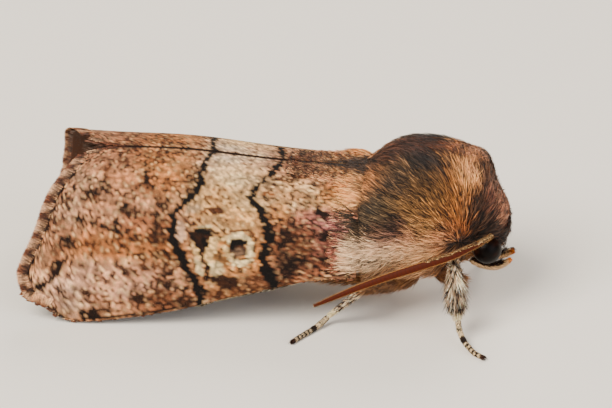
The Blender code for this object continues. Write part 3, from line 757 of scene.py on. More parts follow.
@dataclass
class WingPattern:
    """The fore wing's markings as a colour for every scale, by its place on the flattened wing.

    Attributes:
        fringe: Length of the fringe's hair, in mm.
        cheques: How fast the fringe's dark and pale patches follow each other, in radians per mm.
        termen: The (x, q) line of the outer margin, to the fringe's tips.
        middle: The q between which the broken line before the margin runs.
        wobble: How far noise shifts the markings, along x and along q.
        fine_wobble: The share of that shift that the pale figures take.
        dark_scale: What is left of each colour channel in a dark scale.
    """

    fringe: float = 0.42
    cheques: float = 7.4
    cheque_tones: tuple = ("c4a48a", "6c4c3c")
    termen: tuple = ((-6.9, 0.0), (-8.1, 0.42), (-8.85, 0.95), (-9.2, 1.9), (-9.85, 3.4), (-10.3, 5.2),
                     (-10.8, 6.5), (-10.99, 7.35), (-10.6, 8.32), (-9.6, 8.8))
    middle: tuple = (1.6, 7.6)
    wobble: tuple = (0.34, 0.09)
    fine_wobble: tuple = (0.3, 0.4)
    smoke_tone: str = "66422e"
    dark_scale: tuple = (0.3, 0.25, 0.25)
    pale_scale: tuple = (1.0, 0.89, 0.72)

    def edge(self, q: Array) -> Array:
        """The x of the wing's outer margin, to the fringe's tips, at q."""
        line = np.array(self.termen)
        return np.interp(q, line[:, 1], line[:, 0])

    @staticmethod
    def shimmer(x: Array, q: Array) -> Array:
        """A fine random change of lightness from scale to scale."""
        return lattice(np.floor(x * 400), np.floor(q * 400), 17)

    @staticmethod
    def pepper(x: Array, q: Array) -> Array:
        """The share of dark scales: fewer in the pale middle band, more near the root."""
        share = np.where((x > -3.0) & (x < 0.0) & (q < 4.4), 0.1, 0.2)
        return np.where((x > 0.8) & (q > 3.4), 0.27, share)

    @staticmethod
    def within(mark: Line | Blot, u: Array, v: Array) -> tuple:
        """The places that a mark can reach."""
        low_x, high_x, low_q, high_q = mark.reach()
        return np.nonzero((u > low_x) & (u < high_x) & (v > low_q) & (v < high_q))

    def colour(self, x: Array, q: Array, grain: Array) -> Array:
        """The display colour of scales at flat places.

        Args:
            x: Place along the moth, in mm.
            q: Distance down from the ridge, in mm.
            grain: A random number in 0 to 1 for each scale.

        Returns:
            One colour per scale.
        """
        u = x + self.wobble[0] * (noise(x * 2.4, q * 22, 3, 2) - 0.5) + 0.07 * (grain - 0.5)
        v = q + self.wobble[1] * (noise(x * 3 + 40, q * 10, 4) - 0.5)
        out = np.broadcast_to(rgb(GROUND), (*x.shape, 3)).copy()
        for wash in WASHES:
            at = self.within(wash, u, v)
            out[at] = mix(out[at], rgb(wash.tone), wash.density(u[at], v[at]))
        stain, streak = noise(x * 1.6, q * 2.6, 11), noise(x * 1.8, q * 12, 12)
        out *= (0.8 + 0.42 * stain)[..., None] * (0.82 + 0.4 * streak)[..., None]
        out *= 1.0 + (noise(x * 0.9, q * 1.6, 13)[..., None] - 0.5) * np.array([0.1, 0.0, -0.1])
        smoke = ramp((noise(x * 1.1 + 9, q * 1.7, 15) - 0.52) / 0.16) * np.where(x < -4.2, 0.34, 0.2)
        out = mix(out, rgb(self.smoke_tone), smoke)
        mixed = 0.55 * noise(x * 24, q * 40, 14, 1) + 0.45 * grain
        rank = 1.0 / (1.0 + np.exp(-1.702 * (mixed - 0.5) / 0.177))
        drift = 0.45 + 1.1 * ramp(1.6 * noise(x * 1.3, q * 2.8, 16) - 0.3)
        speck = ramp((self.pepper(x, q) * drift + 0.4 * smoke - rank) / 0.1 + 0.5)[..., None]
        out += (out * np.array(self.dark_scale) - out) * speck * 0.92
        pale = ramp((rank - 0.74) / 0.1)[..., None]
        out += (np.array(self.pale_scale) - out) * pale * 0.58
        fine = (x + self.fine_wobble[0] * (u - x), q + self.fine_wobble[1] * (v - q))
        self._figures(out, (u, v), fine, grain, rank)
        self._margin(out, x, q, grain, rank)
        return out * (0.76 + 0.52 * self.shimmer(x, q))[..., None]

    def _figures(self, out: Array, rough: tuple, fine: tuple, grain: Array, rank: Array) -> None:
        """Draws the pale figures, and over them the clouds with the painted shadow along the ridge, the
        figures' darks and the cross lines.

        Args:
            out: The colours drawn into.
            rough: The scales' places, shifted by noise.
            fine: The same shifted less, which the figures are drawn by.
            grain: A random number for each scale.
            rank: How likely each scale is to stay pale, 0 to 1.
        """
        for mark in PALE_MARKS:
            at = self.within(mark, *fine)
            share = ramp((1.3 * mark.density(fine[0][at], fine[1][at]) - 0.5 * rank[at]) / 0.3)
            out[at] = mix(out[at], rgb(mark.tone) * (0.92 + 0.12 * grain[at][..., None]), share)
        for mark in (*CLOUDS_AND_RIDGE_SHADOW, *FIGURE_DARKS, *CROSS_LINES):
            across, down = fine if mark in FIGURE_DARKS else rough
            at = self.within(mark, across, down)
            dense = mark.density(across[at], down[at])
            share = np.maximum(ramp((1.2 * dense - rank[at]) / 0.22 + 0.5), 0.4 * dense)[..., None]
            tone = rgb(mark.tone) * (0.75 + 0.6 * grain[at][..., None])
            out[at] += (tone - out[at]) * share * ramp(dense / 0.06)[..., None] * 0.96

    def _margin(self, out: Array, x: Array, q: Array, grain: Array, rank: Array) -> None:
        """Draws the broken line before the margin and the chequered fringe.

        Args:
            out: The colours drawn into.
            x: The scales' places along the moth.
            q: Their distances from the ridge.
            grain: A random number for each scale.
            rank: How likely each scale is to stay pale, 0 to 1.
        """
        wave = np.sin(q * self.cheques)
        inner = x - (self.edge(q) + self.fringe + 0.12)
        broken = ramp((np.sin(q * self.cheques + 0.8) + 1.2) / 0.5)
        line = ramp((0.11 - np.abs(inner + 0.08 * wave)) / 0.07) * broken
        line *= (q > self.middle[0]) * (q < self.middle[1])
        out += (rgb(SOOT) - out) * ramp((line - 0.7 * rank) / 0.2)[..., None] * 0.9
        share = np.clip((self.edge(q) + self.fringe - x) / self.fringe, 0.0, 1.2)
        patch = ramp(0.35 + 0.9 * wave + 2.2 * (noise(q * 5, q * 0.0, 19) - 0.5))
        pale, dark = (rgb(tone) for tone in self.cheque_tones)
        tuft = mix(pale, dark, patch) * (0.72 + 0.5 * ramp(share - 0.2))[..., None]
        out += (tuft * (0.6 + 0.75 * grain[..., None]) - out) * ramp(share / 0.12)[..., None]


# ---- wings ----


@dataclass(frozen=True)
class Roof:
    """The rounded roof that the closed wings make over the back.

    Attributes:
        arch: How far the ridge rises in its middle.
        arch_place: x of that middle, and how long the rise is.
        steepest: The roof's slope at its lower edge, in degrees.
        spread: Distance from the ridge at which it has turned down, at the front and at the rear.
        sharpness: How suddenly it turns.
        lag: How far the left wing's rear lobe lies behind the right one's.
        lobe: x where that lobe starts, its length and its depth.
        steps: Points that the way down from the ridge is added up over.
    """

    front: float = 4.35
    rear: float = -10.99
    ridge: float = 6.66
    arch: float = 0.22
    arch_place: tuple = (-4.0, 3.2)
    steepest: float = 86.0
    spread: tuple = (3.1, 4.36)
    sharpness: float = 1.8
    lag: float = 0.45
    lobe: tuple = (-6.5, 2.6, 6.5)
    steps: int = 33

    def place(self, x: Array, q: Array, side: Side, inset: Array | float = 0.0) -> Array:
        """Points on the roof.

        Args:
            x: Place along the moth.
            q: Distance down from the ridge.
            side: Which wing.
            inset: How far under the surface.

        Returns:
            The points, one row of x, y, z for each place.
        """
        x, q, inset = np.broadcast_arrays(*(np.asarray(part, float) for part in (x, q, inset)))
        share = np.clip((self.front - x) / (self.front - self.rear), 0.0, 1.0)
        spread = self.spread[0] + (self.spread[1] - self.spread[0]) * share
        steps = q[..., None] * np.linspace(0.0, 1.0, self.steps)
        turned = 1.0 - np.exp(-((steps / spread[..., None]) ** self.sharpness))
        slope = math.radians(self.steepest) * turned
        across = np.trapz(np.cos(slope), steps, axis=-1) - inset * np.sin(slope[..., -1])
        down = np.trapz(np.sin(slope), steps, axis=-1) + inset * np.cos(slope[..., -1])
        crest = self.ridge + self.arch * np.exp(-(((x - self.arch_place[0]) / self.arch_place[1]) ** 2))
        start, length, depth = self.lobe
        rear = np.clip((start - x) / length, 0.0, 1.0)
        lag = self.lag * rear**2 * np.sin(math.pi * np.clip(q / depth, 0.0, 1.0)) ** 0.7
        lag = lag if side is Side.LEFT else 0.0
        return np.stack([x - lag, side.value * across, crest - down], axis=-1)

    def frame(self, x: Array, q: Array, side: Side) -> tuple:
        """The wing's directions at flat places.

        Args:
            x: Place along the moth.
            q: Distance down from the ridge.
            side: Which wing.

        Returns:
            The unit vectors along x, down q and away from the wing.
        """
        step = 0.02
        low_x, high_x = self.place(x - step, q, side), self.place(x + step, q, side)
        low_q, high_q = self.place(x, np.maximum(q - step, 0.0), side), self.place(x, q + step, side)
        along, down = unit(high_x - low_x), unit(high_q - low_q)
        return along, down, unit(np.cross(along, down) * -side.value)


def coons(dorsum: Sequence, termen: Sequence, costa: Sequence, cells: tuple) -> Array:
    """A grid of (x, q) that fills the outline between three edges and a straight root.

    Args:
        dorsum: The edge along the ridge, from the root back.
        termen: The outer margin, from the ridge down.
        costa: The lower edge, from the root back.
        cells: Cells from root to margin and from ridge to costa.

    Returns:
        The grid's (x, q) places, (rows + 1, columns + 1, 2).
    """
    rows, columns = cells
    upper, lower = smooth_path(dorsum, rows + 1), smooth_path(costa, rows + 1)
    rear, front = smooth_path(termen, columns + 1), np.linspace(upper[0], lower[0], columns + 1)
    s = np.linspace(0.0, 1.0, rows + 1)[:, None, None]
    t = np.linspace(0.0, 1.0, columns + 1)[None, :, None]
    sides = (1 - t) * upper[:, None] + t * lower[:, None] + (1 - s) * front[None] + s * rear[None]
    corners = (1 - s) * ((1 - t) * upper[0] + t * lower[0]) + s * ((1 - t) * upper[-1] + t * lower[-1])
    return sides - corners


@dataclass
class Wing:
    """What fore and hind wings share: a thin membrane in the roof, with overlapping scales on both faces.

    Attributes:
        dorsum: The (x, q) edge along the ridge.
        termen: The outer margin, to the fringe's tips.
        costa: The lower edge.
        inset: Depth of the membrane under the roof, in mm.
        cells: The membrane's cells from root to margin and from ridge to costa.
        steps: Distance of upper scales along x and along q; under_steps are the lower face's.
        scale_size: Length and width of an upper scale; under_size is the lower face's.
        hinge: The (x, q) that the scales point away from.
        bounds: Lowest and highest x, and lowest and highest q, of any wing.
    """

    side: Side
    rng: np.random.Generator
    roof: Roof = field(default_factory=Roof)
    kind: str = ""
    slot: str = ""
    dorsum: tuple = ()
    termen: tuple = ()
    costa: tuple = ()
    inset: float = 0.05
    thickness: float = 0.1
    cells: tuple = (110, 70)
    fringe: float = 0.42
    steps: tuple = (0.044, 0.0255)
    under_steps: tuple = (0.18, 0.12)
    scale_size: tuple = (0.1, 0.032)
    under_size: tuple = (0.34, 0.16)
    hinge: tuple = (7.5, 3.3)
    # The lower face's own brown, darkened as painted shade inside the roof of the wings.
    under_colour: str = "6e5040"
    hairs: int = 12000
    bounds: tuple = (-11.1, 4.4, 0.0, 9.6)

    def tone(self, x: Array, q: Array, grain: Array) -> Array:
        """The upper face's colour at flat places."""
        raise NotImplementedError

    def unwrap(self, x: Array, q: Array) -> Array:
        """The flattened wing's place on a bake map."""
        return np.stack([MAP_EDGE + MAP_SPAN * (x + 11.1) / 15.6, MAP_EDGE + MAP_SPAN * q / 9.6], axis=-1)

    def edges(self, x: Array, q: Array) -> Array:
        """How far flat places lie inside the wing's outline.

        Args:
            x: Places along the moth.
            q: Their distances from the ridge.

        Returns:
            The distance to the nearest edge in mm, below 0 outside.
        """
        termen, costa, dorsum = (smooth_path(line, 60) for line in (self.termen, self.costa, self.dorsum))
        rear = x - np.interp(q, termen[:, 1], termen[:, 0])
        low = np.interp(-x, -costa[:, 0], costa[:, 1]) - q
        high = q - np.interp(-x, -dorsum[:, 0], dorsum[:, 1])
        return np.minimum(np.minimum(rear - self.fringe, low), np.minimum(high, dorsum[0, 0] - x))

    def membrane(self) -> Mesh:
        """Makes the wing's thin closed sheet, without the fringe.

        Returns:
            The sheet.
        """
        flat = coons(self.dorsum, self.termen, self.costa, self.cells)
        toward = np.linspace(0.0, 1.0, self.cells[0] + 1)[:, None]
        x, q = flat[..., 0] + self.fringe * toward**6, flat[..., 1]
        outer = self.roof.place(x, q, self.side, self.inset)
        inner = self.roof.place(x, q, self.side, self.inset + self.thickness)
        rows, columns = x.shape
        sheet = grid_faces(rows, columns)
        front, rear = np.arange(columns), (rows - 1) * columns + np.arange(columns - 2, -1, -1)
        low, high = np.arange(1, rows) * columns + columns - 1, np.arange(rows - 2, 0, -1) * columns
        around = np.concatenate([front, low, rear, high])
        after = np.roll(around, -1)
        rim = np.stack([around, around + rows * columns, after + rows * columns, after], axis=-1)
        if self.side is Side.RIGHT:
            sheet, rim = sheet[:, ::-1], rim[:, ::-1]
        under = sheet[:, ::-1] + rows * columns
        top = self.tone(x, q, np.full(x.shape, 0.5)).reshape(-1, 3) * 0.8
        # The membrane's lower side takes the lower face's brown with its painted shade.
        bottom = np.tile(rgb(self.under_colour) * 0.8, (len(top), 1))
        points = np.vstack([outer.reshape(-1, 3), inner.reshape(-1, 3)])
        return Mesh(points, [np.vstack([sheet, under, rim])], np.vstack([top, bottom]))

    def scatter(self, steps: tuple, bounds: tuple) -> tuple:
        """Staggered places for scales inside the outline.

        Args:
            steps: Distance between rows along x, and between neighbours along q.
            bounds: Lowest and highest x, lowest and highest q.

        Returns:
            The x, the q and a random number for each scale.
        """
        low_x, high_x, low_q, high_q = bounds
        x, q = np.meshgrid(np.arange(low_x, high_x, steps[0]), np.arange(low_q, high_q, steps[1]))
        x, q = x.ravel(), q.ravel()
        x = x + self.rng.uniform(-0.5, 0.5, x.size) * steps[0]
        q = q + self.rng.uniform(-0.5, 0.5, q.size) * steps[1]
        keep = self.edges(x, q) > 0.0
        return x[keep], q[keep], self.rng.random(int(keep.sum()))

    def directions(self, x: Array, q: Array, stray: float, drift: float = 0.0) -> tuple:
        """Which way scales lie: back from the wing's hinge towards its margin.

        Args:
            x: Their places along the moth.
            q: Their distances from the ridge.
            stray: How far they differ from scale to scale, in radians.
            drift: How far they differ from patch to patch.

        Returns:
            Their unit vectors, and the wing's outward ones.
        """
        along, down, normal = self.roof.frame(x, q, self.side)
        turn = np.arctan2(0.75 * (q - self.hinge[1]), self.hinge[0] - x)
        turn = turn + self.rng.normal(0.0, stray, len(x))
        turn = turn + drift * (noise(x * 2.5, q * 2.5, 21) - 0.5)
        return unit(rolled(-along, down, turn[:, None])), normal

    def upper_scales(self, bounds: tuple) -> Mesh:
        """Makes scales on the upper face.

        Args:
            bounds: Lowest and highest x, lowest and highest q.

        Returns:
            The scales.
        """
        x, q, grain = self.scatter(self.steps, bounds)
        count = len(x)
        lie, normal = self.directions(x, q, 0.12, 0.4)
        across = unit(rolled(np.cross(normal, lie), normal, self.rng.normal(0.0, 0.35, count)[:, None]))
        spread = np.column_stack([self.rng.uniform(0.75, 1.25, count), self.rng.uniform(0.8, 1.25, count)])
        size = np.array(self.scale_size) * spread
        lift = self.rng.uniform(0.014, 0.03, count)
        root = self.roof.place(x, q, self.side, self.inset - 0.004)
        tone = self.tone(x - 0.03, q, grain)
        return flakes(root, lie, across, normal, size, lift, tone, self.unwrap(x, q))

    def lower_scales(self) -> Mesh:
        """Makes plainer, larger scales on the lower face.

        Returns:
            The scales.
        """
        x, q, grain = self.scatter(self.under_steps, self.bounds)
        lie, normal = self.directions(x, q, 0.15)
        size = np.tile(self.under_size, (len(x), 1))
        root = self.roof.place(x, q, self.side, self.inset + self.thickness + 0.004)
        shade = (0.75 + 0.3 * grain + 0.25 * noise(x * 1.5, q * 3, 22))[:, None] * rgb(self.under_colour)
        lift = self.rng.uniform(0.01, 0.04, len(x))
        across = unit(np.cross(normal, lie))
        return flakes(root, lie, across, -normal, size, lift, shade, self.unwrap(x, q))

    def cilia(self) -> Mesh:
        """Makes the fringe: fine hair-scales in two ranks that stand out from the outer margin.

        Returns:
            The hairs.
        """
        count = self.hairs
        margin = smooth_path([*self.termen, *self.costa[::-1][1:3]], 240)
        last = len(margin) - 1
        pick = self.rng.random(count) * last
        low = pick.astype(int)
        part = (pick - low)[:, None]
        edge = margin[low] * (1 - part) + margin[np.minimum(low + 1, last)] * part
        ahead = unit(margin[np.minimum(low + 3, last)] - margin[np.maximum(low - 3, 0)])
        down = np.where(ahead[:, 1] > 0, ahead[:, 0], -ahead[:, 0])
        out = np.stack([-np.abs(ahead[:, 1]), down], axis=-1)
        out = unit(out + self.rng.normal(0.0, 0.12, out.shape))
        short = self.rng.random(count) < 0.4
        length = np.where(short, 0.62, 1.0) * self.fringe * self.rng.uniform(0.7, 1.04, count)
        start = 0.08 + np.where(short, 0.0, 0.04)
        steps = np.linspace(0.0, 1.0, 3)[None, :, None]
        reach = -start[:, None, None] + (length + start)[:, None, None] * steps
        flat = edge[:, None] - out[:, None] * self.fringe + out[:, None] * reach
        sink = self.inset * (1.0 - 0.6 * self.rng.random(count))[:, None]
        spine = self.roof.place(flat[..., 0], np.maximum(flat[..., 1], 0.02), self.side, sink)
        root_x, root_q = flat[:, 0].T
        _, _, normal = self.roof.frame(root_x, np.maximum(root_q, 0.05), self.side)
        lie = unit(spine[:, -1] - spine[:, 0])
        across = unit(rolled(np.cross(normal, lie), normal, self.rng.normal(0.0, 0.5, count)[:, None]))
        across = np.repeat(across[:, None], 2, axis=1)
        grain = self.rng.random(count)
        shades = np.stack([self.tone(*flat[:, station].T, grain) for station in range(3)], axis=1)
        widths = np.tile([0.03, 0.036], (count, 1))
        return ribbons(spine, across, widths, shades, self.unwrap(root_x, root_q))

    def build(self) -> None:
        """Builds the membrane in place of the node, and the coat."""
        name = f"{self.kind}_{self.side.label}"
        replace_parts(self.membrane().build(f"{name}_membrane", MEMBRANE, self.slot), name)
        for label, mesh in self.coat():
            mesh.build(f"{name}_{label}", SCALES, self.slot)

    def coat(self) -> Iterator[tuple]:
        """The wing's coat pieces, each a label and a mesh."""
        raise NotImplementedError


ROOT_HAIR_TONES = ((0.0, "3c322c"), (0.8, "4c3e34"), (1.2, "8c6c50"), (1.8, "cca27a"), (2.4, "c49a72"),
                   (2.9, "8c6e56"), (3.6, "54443c"), (4.3, "946a60"), (4.8, "ccac8c"), (5.6, "ecceae"))


@dataclass
class ForeWing(Wing):
    """A fore wing, with the species' cross lines, pale figures and chequered fringe."""

    kind: str = "forewing"
    slot: str = "forewing_scales"
    dorsum: tuple = ((4.35, 0.06), (-2.0, 0.06), (-6.9, 0.06), (-8.1, 0.42), (-8.85, 0.95))
    termen: tuple = ((-8.85, 0.95), (-9.2, 1.9), (-9.85, 3.4), (-10.3, 5.2), (-10.8, 6.5), (-10.99, 7.35))
    costa: tuple = ((4.35, 5.95), (1.9, 6.42), (-1.25, 7.55), (-4.0, 8.62), (-7.2, 9.24), (-8.7, 9.26),
                    (-9.6, 8.78), (-10.6, 8.32), (-10.99, 7.35))
    pattern: WingPattern = field(default_factory=WingPattern)
    half: float = -3.3
    root_hairs: int = 9000

    def tone(self, x: Array, q: Array, grain: Array) -> Array:
        """The markings' colour at flat places."""
        return self.pattern.colour(np.asarray(x, float), np.asarray(q, float), grain)

    def coat(self) -> Iterator[tuple]:
        """The scales in an outer and a basal half, the lower face's scales and the fringe.

        Yields:
            A label and a mesh for each.
        """
        low_x, high_x, *depth = self.bounds
        yield "scales_outer", self.upper_scales((low_x, self.half, *depth))
        yield "scales_basal", self.upper_scales((self.half, high_x, *depth))
        yield "scales_under", self.lower_scales()
        yield "fringe", self.cilia()

    def root_hair(self, ground: Ground, fur: Fur) -> Mesh:
        """Long hair over the wing's root, which carries the thorax's coat on to the wing.

        Args:
            ground: The surface it lies over.
            fur: The kind of hair.

        Returns:
            The tufts.
        """
        count = self.root_hairs
        q = self.rng.uniform(0.05, 5.6, count)
        crest = ramp((1.9 - q) / 0.9)
        x = 4.75 - (1.0 + 3.0 * crest) * self.rng.random(count) ** (1.3 - 0.3 * crest)
        roots = self.roof.place(x, q, self.side, 0.0)
        bands = [band for band, _ in ROOT_HAIR_TONES]
        tones = np.array([rgb(tone) for _, tone in ROOT_HAIR_TONES])
        near = np.stack([np.interp(q, bands, part) for part in tones.T], axis=-1)
        strength = 1.2 - 0.4 * ramp((1.2 - q) / 0.4) - 0.15 * ramp((q - 2.8) / 0.8)
        far = self.tone(np.minimum(x, 4.3) - 0.35, q, self.rng.random(count)) * strength[:, None]
        streak = ramp((0.26 * (x - 1.4) + 0.3 * self.rng.random(count) - q) / 0.35)
        share = np.maximum(ramp((x - 4.0) / 0.7), streak)
        colour = mix(far, near, share)
        lie = np.tile([-1.0, 0.0, 0.0], (count, 1))
        scale = (0.35 + 0.65 * ramp((x - 2.4) / 2.0)) * (1.0 - 0.5 * crest)
        return fur.tufts(self.rng, ground, roots, lie, colour, self.unwrap(np.minimum(x, 4.4), q), scale)


@dataclass
class HindWing(Wing):
    """A hind wing, folded away under the fore wing: plain grey-brown, with a dark inner corner."""

    kind: str = "hindwing"
    slot: str = "hindwing_scales"
    dorsum: tuple = ((3.9, 0.7), (-2.0, 0.45), (-6.4, 0.45), (-7.6, 1.0))
    termen: tuple = ((-7.6, 1.0), (-8.6, 2.4), (-9.2, 4.4), (-8.9, 6.0))
    costa: tuple = ((3.9, 5.0), (1.0, 5.9), (-3.5, 7.1), (-7.4, 7.3), (-8.9, 6.0))
    inset: float = 0.7
    cells: tuple = (50, 30)
    steps: tuple = (0.16, 0.1)
    under_steps: tuple = (0.22, 0.16)
    hairs: int = 3000

    def tone(self, x: Array, q: Array, grain: Array) -> Array:
        """Grey-brown, darker towards the margin, with the spot at the inner corner.

        Args:
            x: Places along the moth.
            q: Their distances from the ridge.
            grain: A random number for each place.

        Returns:
            One colour for each place.
        """
        shade = 0.8 + 0.2 * noise(x * 1.5, q * 3, 23) + 0.15 * grain
        dark = ramp(1.2 - np.hypot(x + 6.9, q - 1.3) / 0.8)
        base = mix(rgb("8d7566"), rgb("6b5548"), ramp((-x - 3.0) / 5.0))
        return mix(base, rgb("33261e"), dark) * shade[..., None]

    def coat(self) -> Iterator[tuple]:
        """Coarse scales on both faces, and the fringe."""
        yield "scales", joined([self.upper_scales(self.bounds), self.lower_scales()])
        yield "fringe", self.cilia()


# ---- body skin ----


def power(value: Array, exponent: float) -> Array:
    """A signed power, for the rounded section of a body."""
    return np.sign(value) * np.abs(value) ** exponent


@dataclass
class Loft:
    """A smooth form through oval sections, each ((top x, z), (bottom x, z), half width, belt).

    The belt is the height of a section's widest place, as a fraction from bottom to top.
    """

    sections: tuple
    roundness: float = 2.15
    stations: int = 81
    cells: tuple = (119, 95)
    rows: Array = field(init=False)

    def __post_init__(self) -> None:
        """Reads the sections as evenly spaced rows."""
        flat = [(*top, *bottom, width, belt) for top, bottom, width, belt in self.sections]
        self.rows = smooth_path(flat, self.stations)

    def point(self, along: Array, angle: Array, inset: Array | float = 0.0) -> Array:
        """Points on the form.

        Args:
            along: Fraction from the first section to the last.
            angle: Angle around it: 0 is the moth's left, a quarter turn its top.
            inset: How far inside the form.

        Returns:
            The points, one row for each place.
        """
        along, angle, inset = np.broadcast_arrays(along, angle, np.asarray(inset, float))
        steps = np.linspace(0.0, 1.0, len(self.rows))
        top_x, top_z, low_x, low_z, width, belt = (np.interp(along, steps, col) for col in self.rows.T)
        belt_x, belt_z = low_x + (top_x - low_x) * belt, low_z + (top_z - low_z) * belt
        lift = power(np.sin(angle), 2.0 / self.roundness)
        end_x, end_z = np.where(lift > 0, top_x, low_x), np.where(lift > 0, top_z, low_z)
        across = width * power(np.cos(angle), 2.0 / self.roundness)
        out = np.stack([np.abs(lift) * (end_x - belt_x), across, np.abs(lift) * (end_z - belt_z)], axis=-1)
        length = np.linalg.norm(out, axis=-1, keepdims=True)
        out = out * (1.0 - np.minimum(inset[..., None] / np.maximum(length, 0.2), 0.85))
        return out + np.stack([belt_x, np.zeros_like(belt_x), belt_z], axis=-1)

    def surface(self, rings: int, sides: int, inset: Array) -> tuple:
        """Makes a closed surface of the form, drawn in by an inset.

        Args:
            rings: Rings along the form.
            sides: Points around a ring.
            inset: The inset at each ring.

        Returns:
            The points, and the faces, grouped by how many corners they have.
        """
        along = np.linspace(0, 1, rings)[:, None]
        angle = np.arange(sides)[None] * math.tau / sides
        return self.point(along, angle, inset[:, None]).reshape(-1, 3), tube_faces(rings, sides)

    def scatter(self, rng: np.random.Generator, count: int, share: Callable[[Array], Array]) -> tuple:
        """Random places spread evenly over the form's surface, thinned by a share.

        Args:
            rng: Source of random numbers.
            count: How many places.
            share: Weight of each place, from its point on the form.

        Returns:
            The places' fractions along, their angles and their points on the form.
        """
        rows, columns = self.cells
        grid = self.point(np.linspace(0, 1, rows + 1)[:, None], np.linspace(0, math.tau, columns + 1)[None])
        step_a, step_b = np.diff(grid, axis=0)[:, :-1], np.diff(grid, axis=1)[:-1]
        weight = np.linalg.norm(np.cross(step_a, step_b), axis=-1) * share(grid[:-1, :-1])
        pick = rng.choice(weight.size, count, p=weight.ravel() / weight.sum())
        row, column = np.unravel_index(pick, weight.shape)
        place = (row + rng.random(count)) / rows
        turn = (column + rng.random(count)) * math.tau / columns
        return place, turn, self.point(place, turn)


@dataclass
class Tube:
    """A round limb along a path of (x, y, z, radius)."""

    stations: Array

    def frame(self) -> tuple:
        """The tube's directions.

        Returns:
            The forward, sideways and upward unit vectors at each station.
        """
        ahead = unit(np.gradient(self.stations[:, :3], axis=0))
        aside = unit(np.cross(ahead, np.array([0.0, 0.0, 1.0]) + 1e-4))
        return ahead, aside, np.cross(aside, ahead)

    def surface(self, sides: int) -> tuple:
        """Makes the tube's closed surface.

        Args:
            sides: Points around a ring.

        Returns:
            The points, and the faces, grouped by how many corners they have.
        """
        _, aside, above = self.frame()
        turn = (np.arange(sides) * math.tau / sides)[None, :, None]
        around = rolled(aside[:, None], above[:, None], turn)
        rings = self.stations[:, None, :3] + self.stations[:, None, 3:] * around
        return rings.reshape(-1, 3), tube_faces(len(rings), sides)

    def scatter(self, rng: np.random.Generator, count: int) -> tuple:
        """Random places over the tube.

        Args:
            rng: Source of random numbers.
            count: How many places.

        Returns:
            Each place's fraction along and turn, its point, and the tube's outward and own directions there.
        """
        along, turn = rng.random(count), rng.random(count) * math.tau
        steps = np.linspace(0.0, 1.0, len(self.stations))
        ahead, aside, above, at = (
            np.stack([np.interp(along, steps, column) for column in rows.T], axis=-1)
            for rows in (*self.frame(), self.stations)
        )
        out = unit(rolled(aside, above, turn[:, None]))
        return along, turn, at[:, :3] + at[:, 3:] * out, out, unit(ahead)


ABDOMEN = (
    ((-5.75, 2.72), (-5.75, 2.28), .3, .5),
    ((-5.3, 3.3), (-5.35, 1.9), .85, .5),
    ((-3.6, 4.1), (-3.7, 1.75), 1.35, .5),
    ((-.8, 4.85), (-.8, 1.8), 1.7, .5),
    ((2.2, 5.3), (2.2, 1.95), 1.9, .5),
    ((4.6, 5.5), (4.6, 2.15), 2, .5),
)
FRONT = (
    ((4.45, 6.8), (4.45, 2.45), 3.6, .2),
    ((4.95, 7.26), (5, 2.15), 3.48, .3),
    ((5.5, 7.74), (5.5, 1.95), 3.28, .4),
    ((6.35, 8.1), (6.25, 1.82), 3.12, .46),
    ((7.5, 8.14), (7.2, 1.9), 3, .49),
    ((8.3, 8), (7.85, 2.15), 2.75, .5),
    ((8.96, 7.87), (8.36, 2.46), 2.42, .5),
    ((9.38, 7.8), (8.7, 2.66), 2.3, .5),
    ((9.62, 7.6), (8.86, 2.8), 2.12, .48),
    ((9.8, 7.1), (9.02, 2.93), 1.75, .44),
    ((10.12, 6.3), (9.4, 2.86), 1.5, .4),
    ((10.42, 5.66), (9.95, 2.88), 1.34, .42),
    ((10.62, 5.16), (10.32, 3.06), 1.02, .46),
    ((10.5, 4.84), (10.36, 3.4), .64, .5),
    ((10.66, 4.46), (10.58, 3.8), .26, .5),
)
LEG_JOINTS = {
    "foreleg": ((7.6, 0.7, 1.62), (8.72, 1.35, 1.72), (8.66, 2.74, 3.5), (8.94, 3.3, 1.06)),
    "midleg": ((6.75, 0.7, 1.42), (5.95, 1.5, 1.42), (4.75, 3.2, 2.1), (3.1, 3.05, 0.5)),
    "hindleg": ((5.3, 0.7, 1.5), (4.45, 1.4, 1.55), (2.2, 2.2, 1.95), (-2.2, 2.35, 0.5)),
}
LEG_SEGMENTS = ("coxa", "femur", "tibia")
LIMB_BULGE = (0.75, 1.0, 1.0, 0.85, 0.7)
LEG_RADII = {
    "foreleg": (0.24, 0.15, 0.16),
    "midleg": (0.24, 0.15, 0.15),
    "hindleg": (0.24, 0.16, 0.16),
}
PALP_PATH = ((9.1, 0.5, 2.54), (9.6, 0.56, 2.36), (10.15, 0.56, 2.3), (10.55, 0.5, 2.38),
             (10.86, 0.42, 2.56))
PALP_RADII = (0.1, 0.12, 0.12, 0.1, 0.05)
TARSUS_PATHS = {
    "foreleg": ((8.97, 3.4, 0.95), (9.12, 3.76, 0.6), (9.42, 4.22, 0.3), (9.9, 4.76, 0.135),
                (10.38, 5.14, 0.12)),
    "midleg": ((3.0, 3.1, 0.4), (2.7, 3.5, 0.22), (2.4, 3.95, 0.15), (2.05, 4.5, 0.13),
               (1.72, 5.08, 0.12)),
    "hindleg": ((-2.4, 2.38, 0.42), (-3.0, 2.45, 0.22), (-3.7, 2.54, 0.15), (-4.4, 2.64, 0.13),
                (-5.1, 2.76, 0.12)),
}
ANTENNA_PATH = ((10.28, 1.62, 4.46), (9.86, 2.25, 4.42), (9.3, 2.78, 4.3), (8.6, 3.24, 4.1), (7.3, 3.6, 3.67),
                (6.0, 3.84, 3.2), (4.6, 4.06, 2.62), (3.4, 4.18, 2.02), (2.55, 4.22, 1.57))


@dataclass(frozen=True)
class Tint:
    """A patch of fur colour on the body: its middle on the left side, radius, colour and weight."""

    x: float
    y: float
    z: float
    radius: float
    tone: str
    strength: float = 1.0


